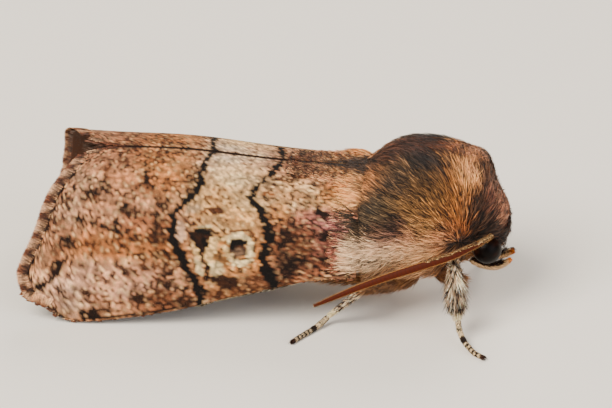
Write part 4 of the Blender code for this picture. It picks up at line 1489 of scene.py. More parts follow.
FUR_TINTS = (
    Tint(5.4, .2, 7.6, .8, "46342a"),
    Tint(6.3, .3, 8, .8, "40302a"),
    Tint(7.3, 1.2, 7.6, .55, "201e20", 3.2),
    Tint(7.6, .2, 8.1, .7, "3d2a20"),
    Tint(8.05, 1, 7.85, .3, "a58058", 2.2),
    Tint(8.5, 1.2, 7.7, .3, "a07a54", 2),
    Tint(7.95, 1.4, 7.2, .35, "483630", 1.5),
    Tint(8.4, .2, 7.9, .6, "5a3e2c"),
    Tint(9, .4, 7.8, .5, "624636"),
    Tint(9.15, 1, 7.6, .45, "9a7350", 1.3),
    Tint(9.2, 1.55, 7.2, .5, "cfa47c", 1.8),
    Tint(9.2, 1.9, 6.8, .4, "a67c50", 1.2),
    Tint(9.55, .1, 7.6, .22, "c09a84", 2),
    Tint(9.7, .8, 7.2, .5, "38281e", 1.6),
    Tint(9.85, 1.2, 6, .7, "5c4238", 1.5),
    Tint(9.25, 2, 6.3, .4, "33241a", 1.4),
    Tint(8.5, 2.4, 5.6, .8, "785636", 1.5),
    Tint(8.7, 2.3, 4.9, .5, "8c5c38", 1.4),
    Tint(8, 2.7, 4.5, .6, "b98f72", 1.9),
    Tint(7.6, 2.9, 6.2, .8, "5e4a34", 1.2),
    Tint(7.5, 2.5, 7, .7, "54422e", 1.3),
    Tint(8.4, 1.8, 6.9, .6, "6a4c30", 1),
    Tint(6.6, 2.3, 7.3, .9, "4e4030", 1.1),
    Tint(6.2, 2.3, 7, .6, "3a3029", 1.4),
    Tint(5.6, 3.1, 5.9, .7, "39332a", 1.6),
    Tint(5, 2.9, 5.4, .5, "453b30", 1.6),
    Tint(6.6, 3.1, 6, .8, "685238", 1.2),
    Tint(7.1, 3.1, 5, .6, "a5855f", 1.4),
    # A near-black patch low on the flank, where the tegula meets the wing's root: painted shadow in the gap
    # between them.
    Tint(6.3, 3.2, 5.2, .5, "34282a", 1.8),
    Tint(6.7, 3.2, 4.6, .45, "6e4c42", 1.3),
    Tint(5.6, 3.2, 4.7, .45, "5d463c", 1.3),
    Tint(6.6, 3.1, 3.8, .6, "e8c4a2", 2.6),
    Tint(5.75, 3.3, 3.65, .65, "f8dcbe", 2.6),
    Tint(7.5, 2.9, 3.4, .6, "d0aa86", 1.8),
    Tint(6.5, 1.8, 2.2, 1.2, "b8977a", 1.8),
    Tint(8.4, 1.5, 2.8, .8, "7a5c44", 1.4),
    Tint(4.6, .4, 7, .6, "4a3e36", 2.2),
    Tint(4.8, 1.7, 6.6, .7, "826248", 2.6),
    Tint(5.2, 1, 7.2, .45, "644e3e", 1.8),
    Tint(10.2, .3, 6.2, .6, "3e2c24", 1.4),
    Tint(10.4, .5, 5.5, .5, "5e4436", 1.5),
    Tint(10.5, .4, 4.8, .5, "7e6052", 1.5),
    Tint(10.6, .3, 3.8, .6, "32231a", 2.2),
    Tint(9.6, 1.6, 4.6, .6, "221813", 2.2),
    Tint(9.62, 1.15, 7.25, .26, "2e201a", 3),
    Tint(9.62, 1.5, 6.8, .26, "2e201a", 3),
    Tint(9.58, 1.85, 6.2, .26, "2a1d18", 3),
    Tint(9.45, 2.05, 5.6, .26, "2a1d18", 3),
    Tint(9.25, 2.15, 5.1, .26, "2a1d18", 3),
    Tint(9.5, 1.9, 5.2, .5, "2e2018", 1.6),
    Tint(9.4, 1.3, 3, .5, "3e2c22", 1.4),
)
ABDOMEN_TONE, LEG_TONE, DARK_LEG_TONE = "a58a70", "f0d6ba", "3a2b25"


def fur_colour(points: Array) -> Array:
    """The fur's display colour anywhere on head and thorax, the same on both sides.

    Args:
        points: Places in the moth's frame, in mm.

    Returns:
        One colour for each place.
    """
    total = np.full(points.shape[:-1], 1e-6)[..., None]
    out = rgb("6a5038") * total
    at = np.stack([points[..., 0], np.abs(points[..., 1]), points[..., 2]], axis=-1)
    for tint in FUR_TINTS:
        away = np.linalg.norm(at - np.array([tint.x, tint.y, tint.z]), axis=-1) / tint.radius
        weight = (tint.strength * np.exp(-0.9 * away**2))[..., None]
        out, total = out + rgb(tint.tone) * weight, total + weight
    return out / total


@dataclass
class BodySkin:
    """One seamless skin over abdomen, thorax, head, palps and the legs down to the shins, under the coat.

    The depths are the coat's, cell is the size that the parts are melted together at, and tuck is how far
    the hips are drawn up into the breast. The limbs are kept by their nodes' names. Each pair of cells gives
    points along a part and points around it.
    """

    front: Loft = field(default_factory=lambda: Loft(FRONT))
    abdomen: Loft = field(default_factory=lambda: Loft(ABDOMEN))
    front_depth: float = 0.42
    head_depth: float = 0.26
    abdomen_depth: float = 0.2
    front_cells: tuple = (60, 72)
    abdomen_cells: tuple = (50, 40)
    limb_cells: tuple = (20, 16)
    lap_cells: tuple = (74, 73)
    cell: float = 0.085
    tuck: float = 0.16
    limbs: dict = field(default_factory=dict)

    def __post_init__(self) -> None:
        """Lays out the limbs' tubes."""
        for side in Side:
            for leg, joints in LEG_JOINTS.items():
                for name, start, end, radius in zip(LEG_SEGMENTS, joints, joints[1:], LEG_RADII[leg]):
                    line = np.linspace(start, end, len(LIMB_BULGE)) * (1.0, side.value, 1.0)
                    if name == "coxa":
                        line[:, 2] += self.tuck
                    self._add_limb(f"{leg}_{side.label}_{name}", line, radius * np.array(LIMB_BULGE))
            self._add_limb(f"palp_{side.label}", np.array(PALP_PATH) * (1.0, side.value, 1.0), PALP_RADII)

    def _add_limb(self, name: str, line: Array, radii: Sequence) -> None:
        """Keeps one limb's tube under its node's name."""
        self.limbs[name] = Tube(smooth_path(np.column_stack([line, radii]), self.limb_cells[0]))

    def coat_depth(self, along: Array) -> Array:
        """The coat's depth over thorax and head."""
        return self.front_depth + (self.head_depth - self.front_depth) * ramp((along - 0.55) / 0.25)

    def shape(self) -> tuple:
        """Joins the lofts and limbs into one even skin.

        Returns:
            The skin's points in mm and its quads.
        """
        front_rings, abdomen_rings = self.front_cells[0], self.abdomen_cells[0]
        front = self.front.surface(*self.front_cells, self.coat_depth(np.linspace(0, 1, front_rings)))
        abdomen = self.abdomen.surface(*self.abdomen_cells, np.full(abdomen_rings, self.abdomen_depth))
        limbs = [tube.surface(self.limb_cells[1]) for tube in self.limbs.values()]
        points, faces, offset = [], [], 0
        for piece, groups in (front, abdomen, *limbs):
            points.append(piece)
            faces += [face for group in groups for face in (group + offset).tolist()]
            offset += len(piece)
        mesh = bpy.data.meshes.new("skin_draft")
        mesh.from_pydata(np.vstack(points).tolist(), [], faces)
        draft = bpy.data.objects.new("skin_draft", mesh)
        bpy.context.scene.collection.objects.link(draft)
        remesh = draft.modifiers.new("even", "REMESH")
        remesh.mode, remesh.voxel_size, remesh.use_smooth_shade = "VOXEL", self.cell, True
        relax = draft.modifiers.new("relax", "SMOOTH")
        relax.factor, relax.iterations = 0.5, 4
        even = draft.evaluated_get(bpy.context.evaluated_depsgraph_get()).to_mesh()
        result = np.zeros(len(even.vertices) * 3, np.float32)
        even.vertices.foreach_get("co", result)
        quads = np.zeros(len(even.loops), np.int32)
        even.loops.foreach_get("vertex_index", quads)
        bpy.data.objects.remove(draft)
        bpy.data.meshes.remove(mesh)
        return result.reshape(-1, 3).astype(float), quads.reshape(-1, 4)

    def lap(self) -> tuple:
        """The surface of head and thorax, open in front, over which their fur may run on to the wings.

        Returns:
            Its points in mm and its quads.
        """
        along = np.linspace(0.0, 1.0, self.lap_cells[0])[:, None]
        angle = np.linspace(0.0, math.tau, self.lap_cells[1])[None]
        points = self.front.point(along, angle, self.coat_depth(along))
        return points.reshape(-1, 3), grid_faces(*points.shape[:2])

    def colour(self, points: Array) -> Array:
        """The skin's colour: the fur's own markings, darker, and the legs' and abdomen's plain tones."""
        tone = mix(fur_colour(points), rgb(LEG_TONE), ramp((2.1 - points[..., 2]) / 0.5))
        return mix(tone, rgb(ABDOMEN_TONE), ramp((4.6 - points[..., 0]) / 0.6)) * 0.55

    def build(self) -> Ground:
        """Builds the skin in place of the flesh nodes.

        Returns:
            The skin as a ground that tufts lie over.
        """
        points, quads = self.shape()
        skin = Mesh(points, [quads], self.colour(points)).build("body_skin", SKIN, "thorax_hair")
        sides = [side.label for side in Side]
        flesh = ["head", "collar", "thorax", "abdomen", *(f"tegula_{label}" for label in sides)]
        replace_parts(skin, *flesh, *self.limbs)
        return Ground(points, quads)


@dataclass
class Ground:
    """A surface that tufts lie over."""

    points: Array
    quads: Array
    tree: BVHTree = field(init=False)

    def __post_init__(self) -> None:
        """Prepares the search for nearest places."""
        self.tree = BVHTree.FromPolygons(self.points.tolist(), self.quads.tolist())

    def joined_with(self, points: Array, quads: Array) -> Ground:
        """A ground with one more surface."""
        return Ground(np.vstack([self.points, points]), np.vstack([self.quads, quads + len(self.points)]))

    def nearest(self, points: Array) -> tuple:
        """The nearest place on the surface and its outward normal for each point."""
        found = [self.tree.find_nearest(point) for point in points.tolist()]
        return np.array([hit[0] for hit in found]), np.array([hit[1] for hit in found])


# ---- fur ----


@dataclass
class Fur:
    """One kind of fur: how long, fine and raised its tufts are, and how they vary.

    Attributes:
        length: Shortest and longest tuft, in mm.
        width: Width at the root, in mm.
        rise: Least and greatest height of the tips over the skin, in mm.
        stations: Points along a tuft.
        stray: How far directions differ between neighbours, in radians.
        contrast: How far tufts differ in lightness.
        tip_light: How much lighter a tuft is at its tip than at its root: painted shade at the root, deep in
            the coat, and a painted highlight at the tip.
        lock: How many locks lie side by side in a millimetre.
        frost: Share of the tufts that end in a pale tip.
    """

    length: tuple
    width: float
    rise: tuple
    stations: int = 4
    stray: float = 0.14
    contrast: float = 0.5
    tip_light: float = 0.5
    lock: float = 7.0
    frost: float = 0.0

    def tufts(self, rng: np.random.Generator, ground: Ground, roots: Array, lie: Array,
              colour: Array, unwrap: Array, scale: Array | float = 1.0) -> Mesh:
        """Grows tufts that follow the ground.

        Args:
            rng: Source of random numbers.
            ground: The surface they lie over.
            roots: Where they start, near the surface.
            lie: The direction each one lies in.
            colour: The display colour of each tuft.
            unwrap: Each root's place on the skin's unwrap.
            scale: Factor on the length and rise of each tuft.

        Returns:
            One mesh of all the tufts.
        """
        count = len(roots)
        scale = np.broadcast_to(np.asarray(scale, float), (count,))
        foot, normal = ground.nearest(roots)
        length = rng.uniform(*self.length, count) * scale
        rise = (self.rise[0] + (self.rise[1] - self.rise[0]) * rng.random(count) ** 1.5) * scale
        wave = noise(foot[:, 0] * 4 + foot[:, 1], foot[:, 2] * 4 - foot[:, 1], 31) - 0.5
        yaw = (wave * 1.1 + rng.normal(0.0, self.stray, count))[:, None]
        heading = laid(lie, normal)
        heading = unit(rolled(heading, np.cross(normal, heading), yaw))
        spine, across = [foot - 0.03 * normal], []
        roll = rng.normal(0.0, 0.5, count)[:, None]
        at = foot
        for station in range(1, self.stations):
            across.append(rolled(unit(np.cross(normal, heading)), normal, roll))
            at, normal = ground.nearest(at + heading * (length / (self.stations - 1))[:, None])
            heading = laid(heading, normal)
            share = station / (self.stations - 1)
            height = rise * (1.0 - (1.0 - share) ** 1.7)
            spine.append(at + normal * height[:, None])
        steps = np.linspace(0.0, 1.0, self.stations)[:-1]
        widths = self.width * scale[:, None] ** 0.5 * rng.uniform(0.75, 1.25, (count, 1))
        widths = widths * (1.0 - 0.45 * steps)
        locks = noise((foot[:, 0] + 0.3 * foot[:, 1]) * self.lock, foot[:, 2] * self.lock, 32, 2) - 0.5
        level = 1.0 + self.contrast * (rng.random(count) - 0.5 + 1.1 * locks)
        level = level * np.where(rng.random(count) < 0.1, 1.35, 1.0)
        # Painted shade towards each tuft's root and a painted highlight towards its tip.
        shade = np.linspace(1.0 - self.tip_light, 1.0 + 0.6 * self.tip_light, self.stations)
        colours = colour[:, None] * (level[:, None] * shade)[..., None]
        pale = self.frost * ramp((rng.random(count) + 1.6 * locks - 0.5) / 0.3)
        frost = pale[:, None] * np.linspace(0.0, 1.0, self.stations) ** 1.5
        colours = colours + (rgb(FROST_TONE) - colours) * frost[..., None]
        return ribbons(np.stack(spine, axis=1), np.stack(across, axis=1), widths, colours, unwrap)


FROST_TONE = "e0bc9c"
THORAX_FUR = Fur((0.55, 1.2), 0.032, (0.06, 0.44), contrast=1.4, tip_light=0.55)
LONG_FUR = Fur((0.6, 1.6), 0.038, (0.1, 0.4), stations=5, stray=0.16, contrast=0.95, tip_light=0.4)
ROOT_FUR = Fur((0.5, 1.05), 0.04, (0.05, 0.22), stray=0.16, contrast=0.8, tip_light=0.3)
MUZZLE_FUR = Fur((0.4, 0.8), 0.045, (0.1, 0.42), stray=0.3, contrast=0.9, tip_light=0.4)
REAR_FUR = Fur((1.1, 1.9), 0.045, (0.08, 0.3), stations=5, stray=0.12, contrast=0.5, tip_light=0.25)
COLLAR_FUR = Fur((0.6, 1.3), 0.045, (0.06, 0.4), stray=0.2, contrast=1.5, tip_light=0.6, lock=4.5, frost=0.4)
FACE_FUR = Fur((0.5, 1.1), 0.045, (0.04, 0.28), stray=0.26, contrast=1.6, tip_light=0.7, lock=4.5, frost=0.6)
UNDER_FUR = Fur((0.8, 1.5), 0.045, (0.25, 0.8), stray=0.3, contrast=0.6, tip_light=0.3)
BELLY_FUR = Fur((0.5, 0.9), 0.07, (0.05, 0.2), stations=3)
SHIN_FUR = Fur((0.4, 0.8), 0.032, (0.12, 0.46), stations=3, contrast=0.6, tip_light=0.3)
THIGH_FUR = Fur((0.4, 0.85), 0.035, (0.06, 0.34), stations=3, contrast=0.6, tip_light=0.35)
LEG_FUR = Fur((0.16, 0.34), 0.035, (0.03, 0.1), stations=3, contrast=0.6, tip_light=0.25)


@dataclass(frozen=True)
class Region:
    """Where on thorax and head one kind of fur grows.

    Attributes:
        x: Its rear and front end.
        z: Its lower and upper end.
        flank: How far from the midline it starts.
        band: Height and softness of a level band that it keeps to, if any.
        thin: Height below which it is half as dense.
        clear: Whether it keeps clear of the eyes.
    """

    x: tuple = (-math.inf, math.inf)
    z: tuple = (-math.inf, math.inf)
    flank: float = -1.0
    band: tuple = ()
    thin: float = -math.inf
    clear: bool = False

    def share(self, points: Array) -> Array:
        """The fur's density.

        Args:
            points: Places in the moth's frame, in mm.

        Returns:
            A share for each place.
        """
        x, y, z = np.moveaxis(points, -1, 0)
        inside = (x > self.x[0]) & (x < self.x[1]) & (z > self.z[0]) & (z < self.z[1])
        out = inside * (np.abs(y) > self.flank) * (1.0 - 0.5 * (z < self.thin))
        if self.clear:
            out = out * (np.hypot(x - EYE_CENTRE[0], z - EYE_LOW) > EYE_BARE)
        if self.band:
            out = out * np.exp(-(((z - self.band[0]) / self.band[1]) ** 2))
        return out


ALL = math.inf
EYE_CENTRE, EYE_RADIUS = (9.98, 1.22, 3.52), 0.66
EYE_LOW, EYE_BARE = 3.38, 0.5
COAT_PARTS = (
    ("muzzle_fur", "head_hair", 3000, MUZZLE_FUR, Region(x=(9.9, ALL), z=(0.0, 4.4), clear=True)),
    ("thorax_fur_0", "thorax_hair", 38000, THORAX_FUR, Region(x=(0.0, 8.9), thin=2.6)),
    ("thorax_fur_1", "thorax_hair", 38000, THORAX_FUR, Region(x=(0.0, 8.9), thin=2.6)),
    ("rear_tufts", "thorax_hair", 2600, REAR_FUR, Region(x=(0.0, 5.7), flank=2.2, band=(5.8, 0.45))),
    ("breast_fur", "thorax_hair", 8000, UNDER_FUR, Region(x=(4.9, 8.9), z=(0.0, 3.0))),
    ("shoulder_fur", "tegula_hair", 5500, LONG_FUR, Region(x=(4.6, 7.6), flank=2.4, band=(3.95, 0.5))),
    ("collar_fur", "collar_hair", 20000, COLLAR_FUR, Region(x=(8.7, 9.75), z=(2.9, ALL), clear=True)),
    ("face_fur", "head_hair", 20000, FACE_FUR, Region(x=(9.6, ALL), clear=True)),
)


@dataclass
class Coat:
    """The fur of head, collar, thorax, tegulae and abdomen.

    It fans out from a pole on the shoulder and one on the cheek, and is shorter at the brow, by the eye.
    """

    body: BodySkin
    ground: Ground
    skin: Ground
    rng: np.random.Generator
    pole: tuple = (8.8, 2.3, 3.55)
    face_pole: tuple = (9.5, 1.7, 4.3)
    brow: tuple = (0.55, 0.45)
    belly_tufts: int = 6000

    def lie(self, points: Array) -> Array:
        """The direction the fur lies in: fanning up and back from the shoulder, forward on the face.

        Args:
            points: Places in the moth's frame, in mm.

        Returns:
            A unit vector for each place.
        """
        sign = np.where(points[:, 1:2] < 0, -1.0, 1.0)
        mirror = np.concatenate([np.ones_like(sign), sign, np.ones_like(sign)], axis=1)
        at = points * mirror
        back = at - np.array(self.pole)
        back[:, 1] *= ramp(at[:, 1] / 1.2)
        fan = unit(back) + np.array([-0.75, 0.0, 0.0]) * ramp((9.3 - at[:, :1]) / 1.5)
        low = ramp((3.6 - at[:, 2:]) / 1.2)
        fan = unit(fan) * (1 - low) + np.array([-0.9, 0.1, -0.15]) * low
        face = unit(at - np.array(self.face_pole) + np.array([0.25, 0.0, 0.0]))
        share = ramp((at[:, :1] - 9.55) / 0.5)
        return unit(fan * (1 - share) + face * share) * mirror

    def front(self, count: int, fur: Fur, region: Region, brow: bool) -> Mesh:
        """Fur over a part of head and thorax.

        Args:
            count: Number of tufts.
            fur: Their kind.
            region: Where they grow.
            brow: Whether they are shorter around the eyes.

        Returns:
            The tufts.
        """
        along, turn, points = self.body.front.scatter(self.rng, count, region.share)
        roots = self.body.front.point(along, turn, self.body.coat_depth(along))
        lie = self.lie(points)
        scale = 1.0
        if brow:
            away = np.hypot(points[..., 0] - EYE_CENTRE[0], points[..., 2] - EYE_CENTRE[2])
            scale = self.brow[0] + self.brow[1] * ramp((away - 0.7) / 0.6)
        colour = fur_colour(points + 0.5 * lie)
        return fur.tufts(self.rng, self.ground, roots, lie, colour, unwrapped(along, turn), scale)

    def build(self) -> None:
        """Builds the fur in pieces, and last the abdomen's, which lies straight back."""
        for name, slot, count, fur, region in COAT_PARTS:
            self.front(count, fur, region, name == "face_fur").build(name, FUR, slot)
        region = Region(x=(-ALL, 4.5))
        along, turn, points = self.body.abdomen.scatter(self.rng, self.belly_tufts, region.share)
        back = np.tile([-1.0, 0.0, -0.05], (len(points), 1))
        tone = np.tile(rgb(ABDOMEN_TONE), (len(points), 1))
        belly = BELLY_FUR.tufts(self.rng, self.skin, points, back, tone, unwrapped(along, turn))
        belly.build("abdomen_fur", FUR, "abdomen_hair")


# ---- eyes, feelers and feet ----


def ball(centre: Array, radius: float, rings: int, sides: int, tone: Callable[[Array], Array]) -> Mesh:
    """Makes a globe.

    Args:
        centre: Its centre, in mm.
        radius: Its radius.
        rings: Rings of points from pole to pole.
        sides: Points in a ring.
        tone: The colours for unit vectors from the centre.

    Returns:
        The globe.
    """
    turns = np.arange(sides) * math.tau / sides
    lat, lon = np.meshgrid(np.linspace(-0.5, 0.5, rings) * math.pi, turns, indexing="ij")
    out = np.stack([np.cos(lat) * np.cos(lon), np.cos(lat) * np.sin(lon), np.sin(lat)], axis=-1)
    out = out.reshape(-1, 3)
    return Mesh(centre + radius * out, [grid_faces(rings, sides, wrap=True)], tone(out))


@dataclass
class Eye:
    """A dark, glossy compound eye, let into the side of the head."""

    side: Side

    @staticmethod
    def tone(out: Array) -> Array:
        """Blackish brown, clouded with paler brown towards its upper rim."""
        cloud = noise(out[:, 0] * 3 + 5, out[:, 2] * 3, 41)[:, None]
        return rgb("100805") + (rgb("321c12") - rgb("100805")) * ramp(cloud * 1.6 - 0.5 + 0.3 * out[:, 2:])

    def globe(self) -> Mesh:
        """The eye's globe."""
        return ball(np.array(EYE_CENTRE) * (1.0, self.side.value, 1.0), EYE_RADIUS, 33, 48, self.tone)

    def build(self) -> None:
        """Builds the eye in place of its node."""
        eye = self.globe().build(f"eye_globe_{self.side.label}", EYE, "eye")
        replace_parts(eye, f"eye_{self.side.label}")


@dataclass
class Antenna:
    """A tapering feeler of short joints, flat in front, its edges finely toothed and its back scaled.

    Its thickness is a share of its width, and widths are half ones at the points of its path. Outward is the
    way its face looks, on the left.
    """

    side: Side
    rng: np.random.Generator
    joints: int = 46
    per_joint: int = 4
    sides: int = 20
    thickness: float = 0.55
    face_tone: str = "54290c"
    edge_tone: str = "c8a070"
    back_tone: str = "c9ae8c"
    outward: tuple = (0.14, 0.87, 0.47)
    widths: tuple = (0.085, 0.12, 0.155, 0.175, 0.185, 0.175, 0.15, 0.11, 0.05)
    scales: int = 9000

    def stations(self) -> Array:
        """Points and half widths along the feeler, several to a joint."""
        path = np.column_stack([np.array(ANTENNA_PATH) * (1.0, self.side.value, 1.0), self.widths])
        return smooth_path(path, self.joints * self.per_joint + 1)

    def frame(self, rows: Array) -> tuple:
        """The feeler's directions.

        Args:
            rows: Points and half widths along the feeler.

        Returns:
            Unit vectors along it, across its flat face and out of that face.
        """
        ahead = unit(np.gradient(rows[:, :3], axis=0))
        face = laid(np.array(self.outward) * (1.0, self.side.value, 1.0), ahead)
        return ahead, unit(np.cross(face, ahead)), face

    def shaft(self, rows: Array) -> Mesh:
        """Makes the jointed shaft.

        Args:
            rows: Points and half widths along the feeler.

        Returns:
            The shaft.
        """
        _, across, face = self.frame(rows)
        step = (np.arange(len(rows)) % self.per_joint) / self.per_joint
        flare = (0.94 + 0.1 * step)[:, None, None]
        turn = np.arange(self.sides) * math.tau / self.sides
        wide = np.cos(turn)[None, :, None] * across[:, None]
        deep = self.thickness * np.sin(turn)[None, :, None] * face[:, None]
        points = rows[:, None, :3] + rows[:, 3][:, None, None] * flare * (wide + deep)
        rim, back = ramp((np.abs(np.cos(turn)) - 0.86) / 0.1), ramp(-np.sin(turn) / 0.3)
        tone = mix(mix(rgb(self.face_tone), rgb(self.edge_tone), rim[None]), rgb(self.back_tone), back[None])
        tone = tone * (1.0 - 0.1 * (step < 0.2)[:, None, None])
        return Mesh(points.reshape(-1, 3), tube_faces(len(rows), self.sides), tone.reshape(-1, 3))

    def dress(self, rows: Array) -> Mesh:
        """Strews cream scales on the back and the base, and pale bristles along both edges.

        Args:
            rows: Points and half widths along the feeler.

        Returns:
            The scales.
        """
        ahead, across, face = self.frame(rows)
        index = self.rng.integers(0, len(rows) - 1, self.scales)
        share = index / len(rows)
        turn = self.rng.uniform(0.0, math.tau, self.scales)
        edge = self.rng.random(self.scales) < 0.45
        rim = np.where(turn < math.pi, 0.0, math.pi) + self.rng.normal(0.0, 0.15, self.scales)
        turn = np.where(edge, rim, turn)
        base = 0.3 - 1.2 * ramp((0.2 - share) / 0.2)
        top = (np.cos(turn) * np.sign(across[index, 2]) > base) & (share < 0.4)
        keep = (np.sin(turn) <= 0.1) | edge | top
        index, share, turn, edge = index[keep], share[keep], turn[keep], edge[keep]
        out = np.cos(turn)[:, None] * across[index] + self.thickness * np.sin(turn)[:, None] * face[index]
        root = rows[index, :3] + rows[index, 3:] * out * 0.94
        out = unit(out)
        lie = unit(ahead[index] + np.where(edge, 0.75, 0.1)[:, None] * out)
        long = np.where(edge, 0.07, 0.12) * self.rng.uniform(0.8, 1.2, len(index))
        size = np.column_stack([long, np.where(edge, 0.022, 0.05)])
        tone = rgb("d8b88e") * self.rng.uniform(0.35, 1.1, (len(index), 1))
        lift = np.full(len(index), 0.012)
        return flakes(root, lie, unit(np.cross(lie, out)), out, size, lift, tone, unwrapped(share, turn))

    def build(self) -> None:
        """Builds shaft and scales in place of the node."""
        rows = self.stations()
        shaft = self.shaft(rows).build(f"antenna_shaft_{self.side.label}", HORN, "antenna_shaft")
        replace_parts(shaft, f"antenna_{self.side.label}")
        self.dress(rows).build(f"antenna_scales_{self.side.label}", SCALES, "antenna_shaft")


@dataclass
class Leg:
    """A leg's dress: fur on hip, thigh and shin, and a ringed foot of five joints with its claws.

    Tufts are those of a segment and of the shaggy front shin, cells are rings of points and the points in
    each, and rings are where along the foot its rings of colour start.
    """

    name: str
    side: Side
    body: BodySkin
    rng: np.random.Generator
    tufts: tuple = (1700, 5200)
    foot_scales: int = 1500
    foot_radius: float = 0.125
    foot_cells: tuple = (61, 14)
    claw_cells: tuple = (8, 8)
    rings: tuple = (0.0, 0.2, 0.46, 0.56, 0.66, 0.76, 0.85, 1.0)

    @staticmethod
    def shin_tone(along: Array, turn: Array) -> Array:
        """Pale grey fur flecked with dark, with a dark spot low on the shin and a cream end.

        Args:
            along: Fractions along the shin.
            turn: Turns around it.

        Returns:
            One colour for each place.
        """
        fleck = noise(along * 50, turn * 4.0, 51, 1)
        tone = mix(rgb(LEG_TONE), rgb(DARK_LEG_TONE), ramp((fleck - 0.49) / 0.06))
        spot = ramp(1.4 - np.abs(along - 0.66) / 0.08)[:, None] * ramp(np.cos(turn - 0.6) + 0.4)[:, None]
        tone = tone + (rgb("1e1612") - tone) * spot
        return mix(tone, rgb("f0dcb8"), ramp((along - 0.76) / 0.06))

    @staticmethod
    def thigh_tone(along: Array, turn: Array) -> Array:
        """Clouded brown fur."""
        return mix(rgb("7c6048"), rgb("c09c78"), noise(along * 9, turn * 2, 52))

    def fur(self) -> Mesh:
        """Makes the fur on the three upper segments; the front shin's is long and shaggy.

        Returns:
            The fur.
        """
        meshes = []
        for row, segment in enumerate(LEG_SEGMENTS):
            shin = segment == "tibia"
            shaggy = shin and self.name == "foreleg"
            pale_thigh = segment == "femur" and self.name == "foreleg"
            tube = self.body.limbs[f"{self.name}_{self.side.label}_{segment}"]
            along, turn, *place = tube.scatter(self.rng, self.tufts[shaggy])
            scale = 0.6 if shin or pale_thigh else 0.75
            if shaggy:
                scale = 0.35 + 0.8 * ramp(along * 3.0 + 0.2) * ramp((0.98 - along) / 0.45)
            tone = self.thigh_tone(along, turn)
            if shin or pale_thigh:
                tone = self.shin_tone(along * (1.0 if shin else 0.5), turn)
            unwrap = unwrapped(0.3 / MAP_SPAN * (row + along), turn)
            kind = SHIN_FUR if shaggy else LEG_FUR if shin else THIGH_FUR
            meshes.append(self._grow(kind, place, tone, unwrap, scale))
        return joined(meshes)

    def _grow(self, kind: Fur, place: Sequence, tone: Array, unwrap: Array, scale: Array | float) -> Mesh:
        """Makes straight tufts that stand a little off a limb and point down it.

        Args:
            kind: The kind of fur.
            place: Each tuft's root, the limb's outward direction and its own direction there.
            tone: Each tuft's colour.
            unwrap: Each tuft's place on the bake map.
            scale: Factor on its length and rise.

        Returns:
            The tufts.
        """
        roots, out, ahead = place
        count = len(roots)
        length = self.rng.uniform(*kind.length, count) * scale
        rise = self.rng.uniform(*kind.rise, count) * scale
        ahead = unit(ahead + self.rng.normal(0.0, 0.12, ahead.shape))
        shares = np.linspace(0.0, 1.0, kind.stations)
        steps = shares[None, :, None]
        spine = roots[:, None] + ahead[:, None] * length[:, None, None] * steps
        spine = spine + out[:, None] * (rise[:, None, None] * steps**0.8 - 0.02)
        across = rolled(unit(np.cross(out, ahead)), out, self.rng.normal(0.0, 0.5, count)[:, None])
        across = np.repeat(across[:, None], kind.stations - 1, axis=1)
        widths = np.tile(kind.width * (1.0 - 0.4 * shares[:-1]), (count, 1))
        level = 1.0 + kind.contrast * (self.rng.random(count) - 0.5)
        # Painted shade towards each tuft's root and a painted highlight towards its tip.
        shade = np.linspace(1.0 - kind.tip_light, 1.0 + 0.5 * kind.tip_light, kind.stations)
        colours = np.clip(tone[:, None] * (level[:, None] * shade)[..., None], 0.0, 1.0)
        return ribbons(spine, across, widths, colours, unwrap)

    def foot_tone(self, along: Array, grain: Array) -> Array:
        """Dark rings with cream ends to the joints.

        Args:
            along: Fractions along the foot.
            grain: A random number for each place.

        Returns:
            One colour for each place.
        """
        ends = np.array(self.rings[1:])
        last = np.searchsorted(ends, np.clip(along, 0.0, 0.999))
        start = np.array(self.rings)[last]
        part = (along - start) / (ends[last] - start)
        dark = ramp((part - 0.42 + 0.1 * (grain - 0.5)) / 0.08) * (last > 0)
        dark = np.maximum(dark, (last == 0) * (grain < 0.45))
        tone = mix(rgb("e3d0b2"), rgb("33241c"), dark)
        return np.where(along[:, None] > 0.93, rgb("4a3224"), tone) * (0.8 + 0.35 * grain[:, None])

    def foot(self) -> Tube:
        """The foot's jointed tube, a little thicker at the end of each joint.

        Returns:
            The tube, which stays just over the floor.
        """
        count = self.foot_cells[0]
        path = smooth_path(np.array(TARSUS_PATHS[self.name]) * (1.0, self.side.value, 1.0), count)
        along = np.linspace(0.0, 1.0, count)
        swell = 1.0 + 0.14 * ((along * 5.0) % 1.0 > 0.7)
        radius = self.foot_radius * (0.95 - 0.25 * along) * swell
        path[:, 2] = np.maximum(path[:, 2], radius + 0.012)
        return Tube(np.column_stack([path, radius]))

    def claws(self, foot: Tube) -> Mesh:
        """Makes two small curved claws at the foot's end.

        Args:
            foot: The foot.

        Returns:
            The claws.
        """
        ahead, aside, above = (vectors[-1] for vectors in foot.frame())
        reach = np.linspace(0.0, 1.0, self.claw_cells[0])[:, None]
        claws = []
        for turn in (-1.0, 1.0):
            line = foot.stations[-1, :3] + ahead * 0.2 * reach + aside * turn * (0.03 + 0.06 * reach)
            line = line + above * (0.05 * np.sin(math.pi * reach) - 0.05 * reach)
            line[:, 2] = np.maximum(line[:, 2], 0.02)
            claw = Tube(np.column_stack([line, 0.026 * (1.0 - 0.8 * reach[:, 0])]))
            points, faces = claw.surface(self.claw_cells[1])
            claws.append(Mesh(points, faces, np.tile(rgb("3a2418"), (len(points), 1))))
        return joined(claws)

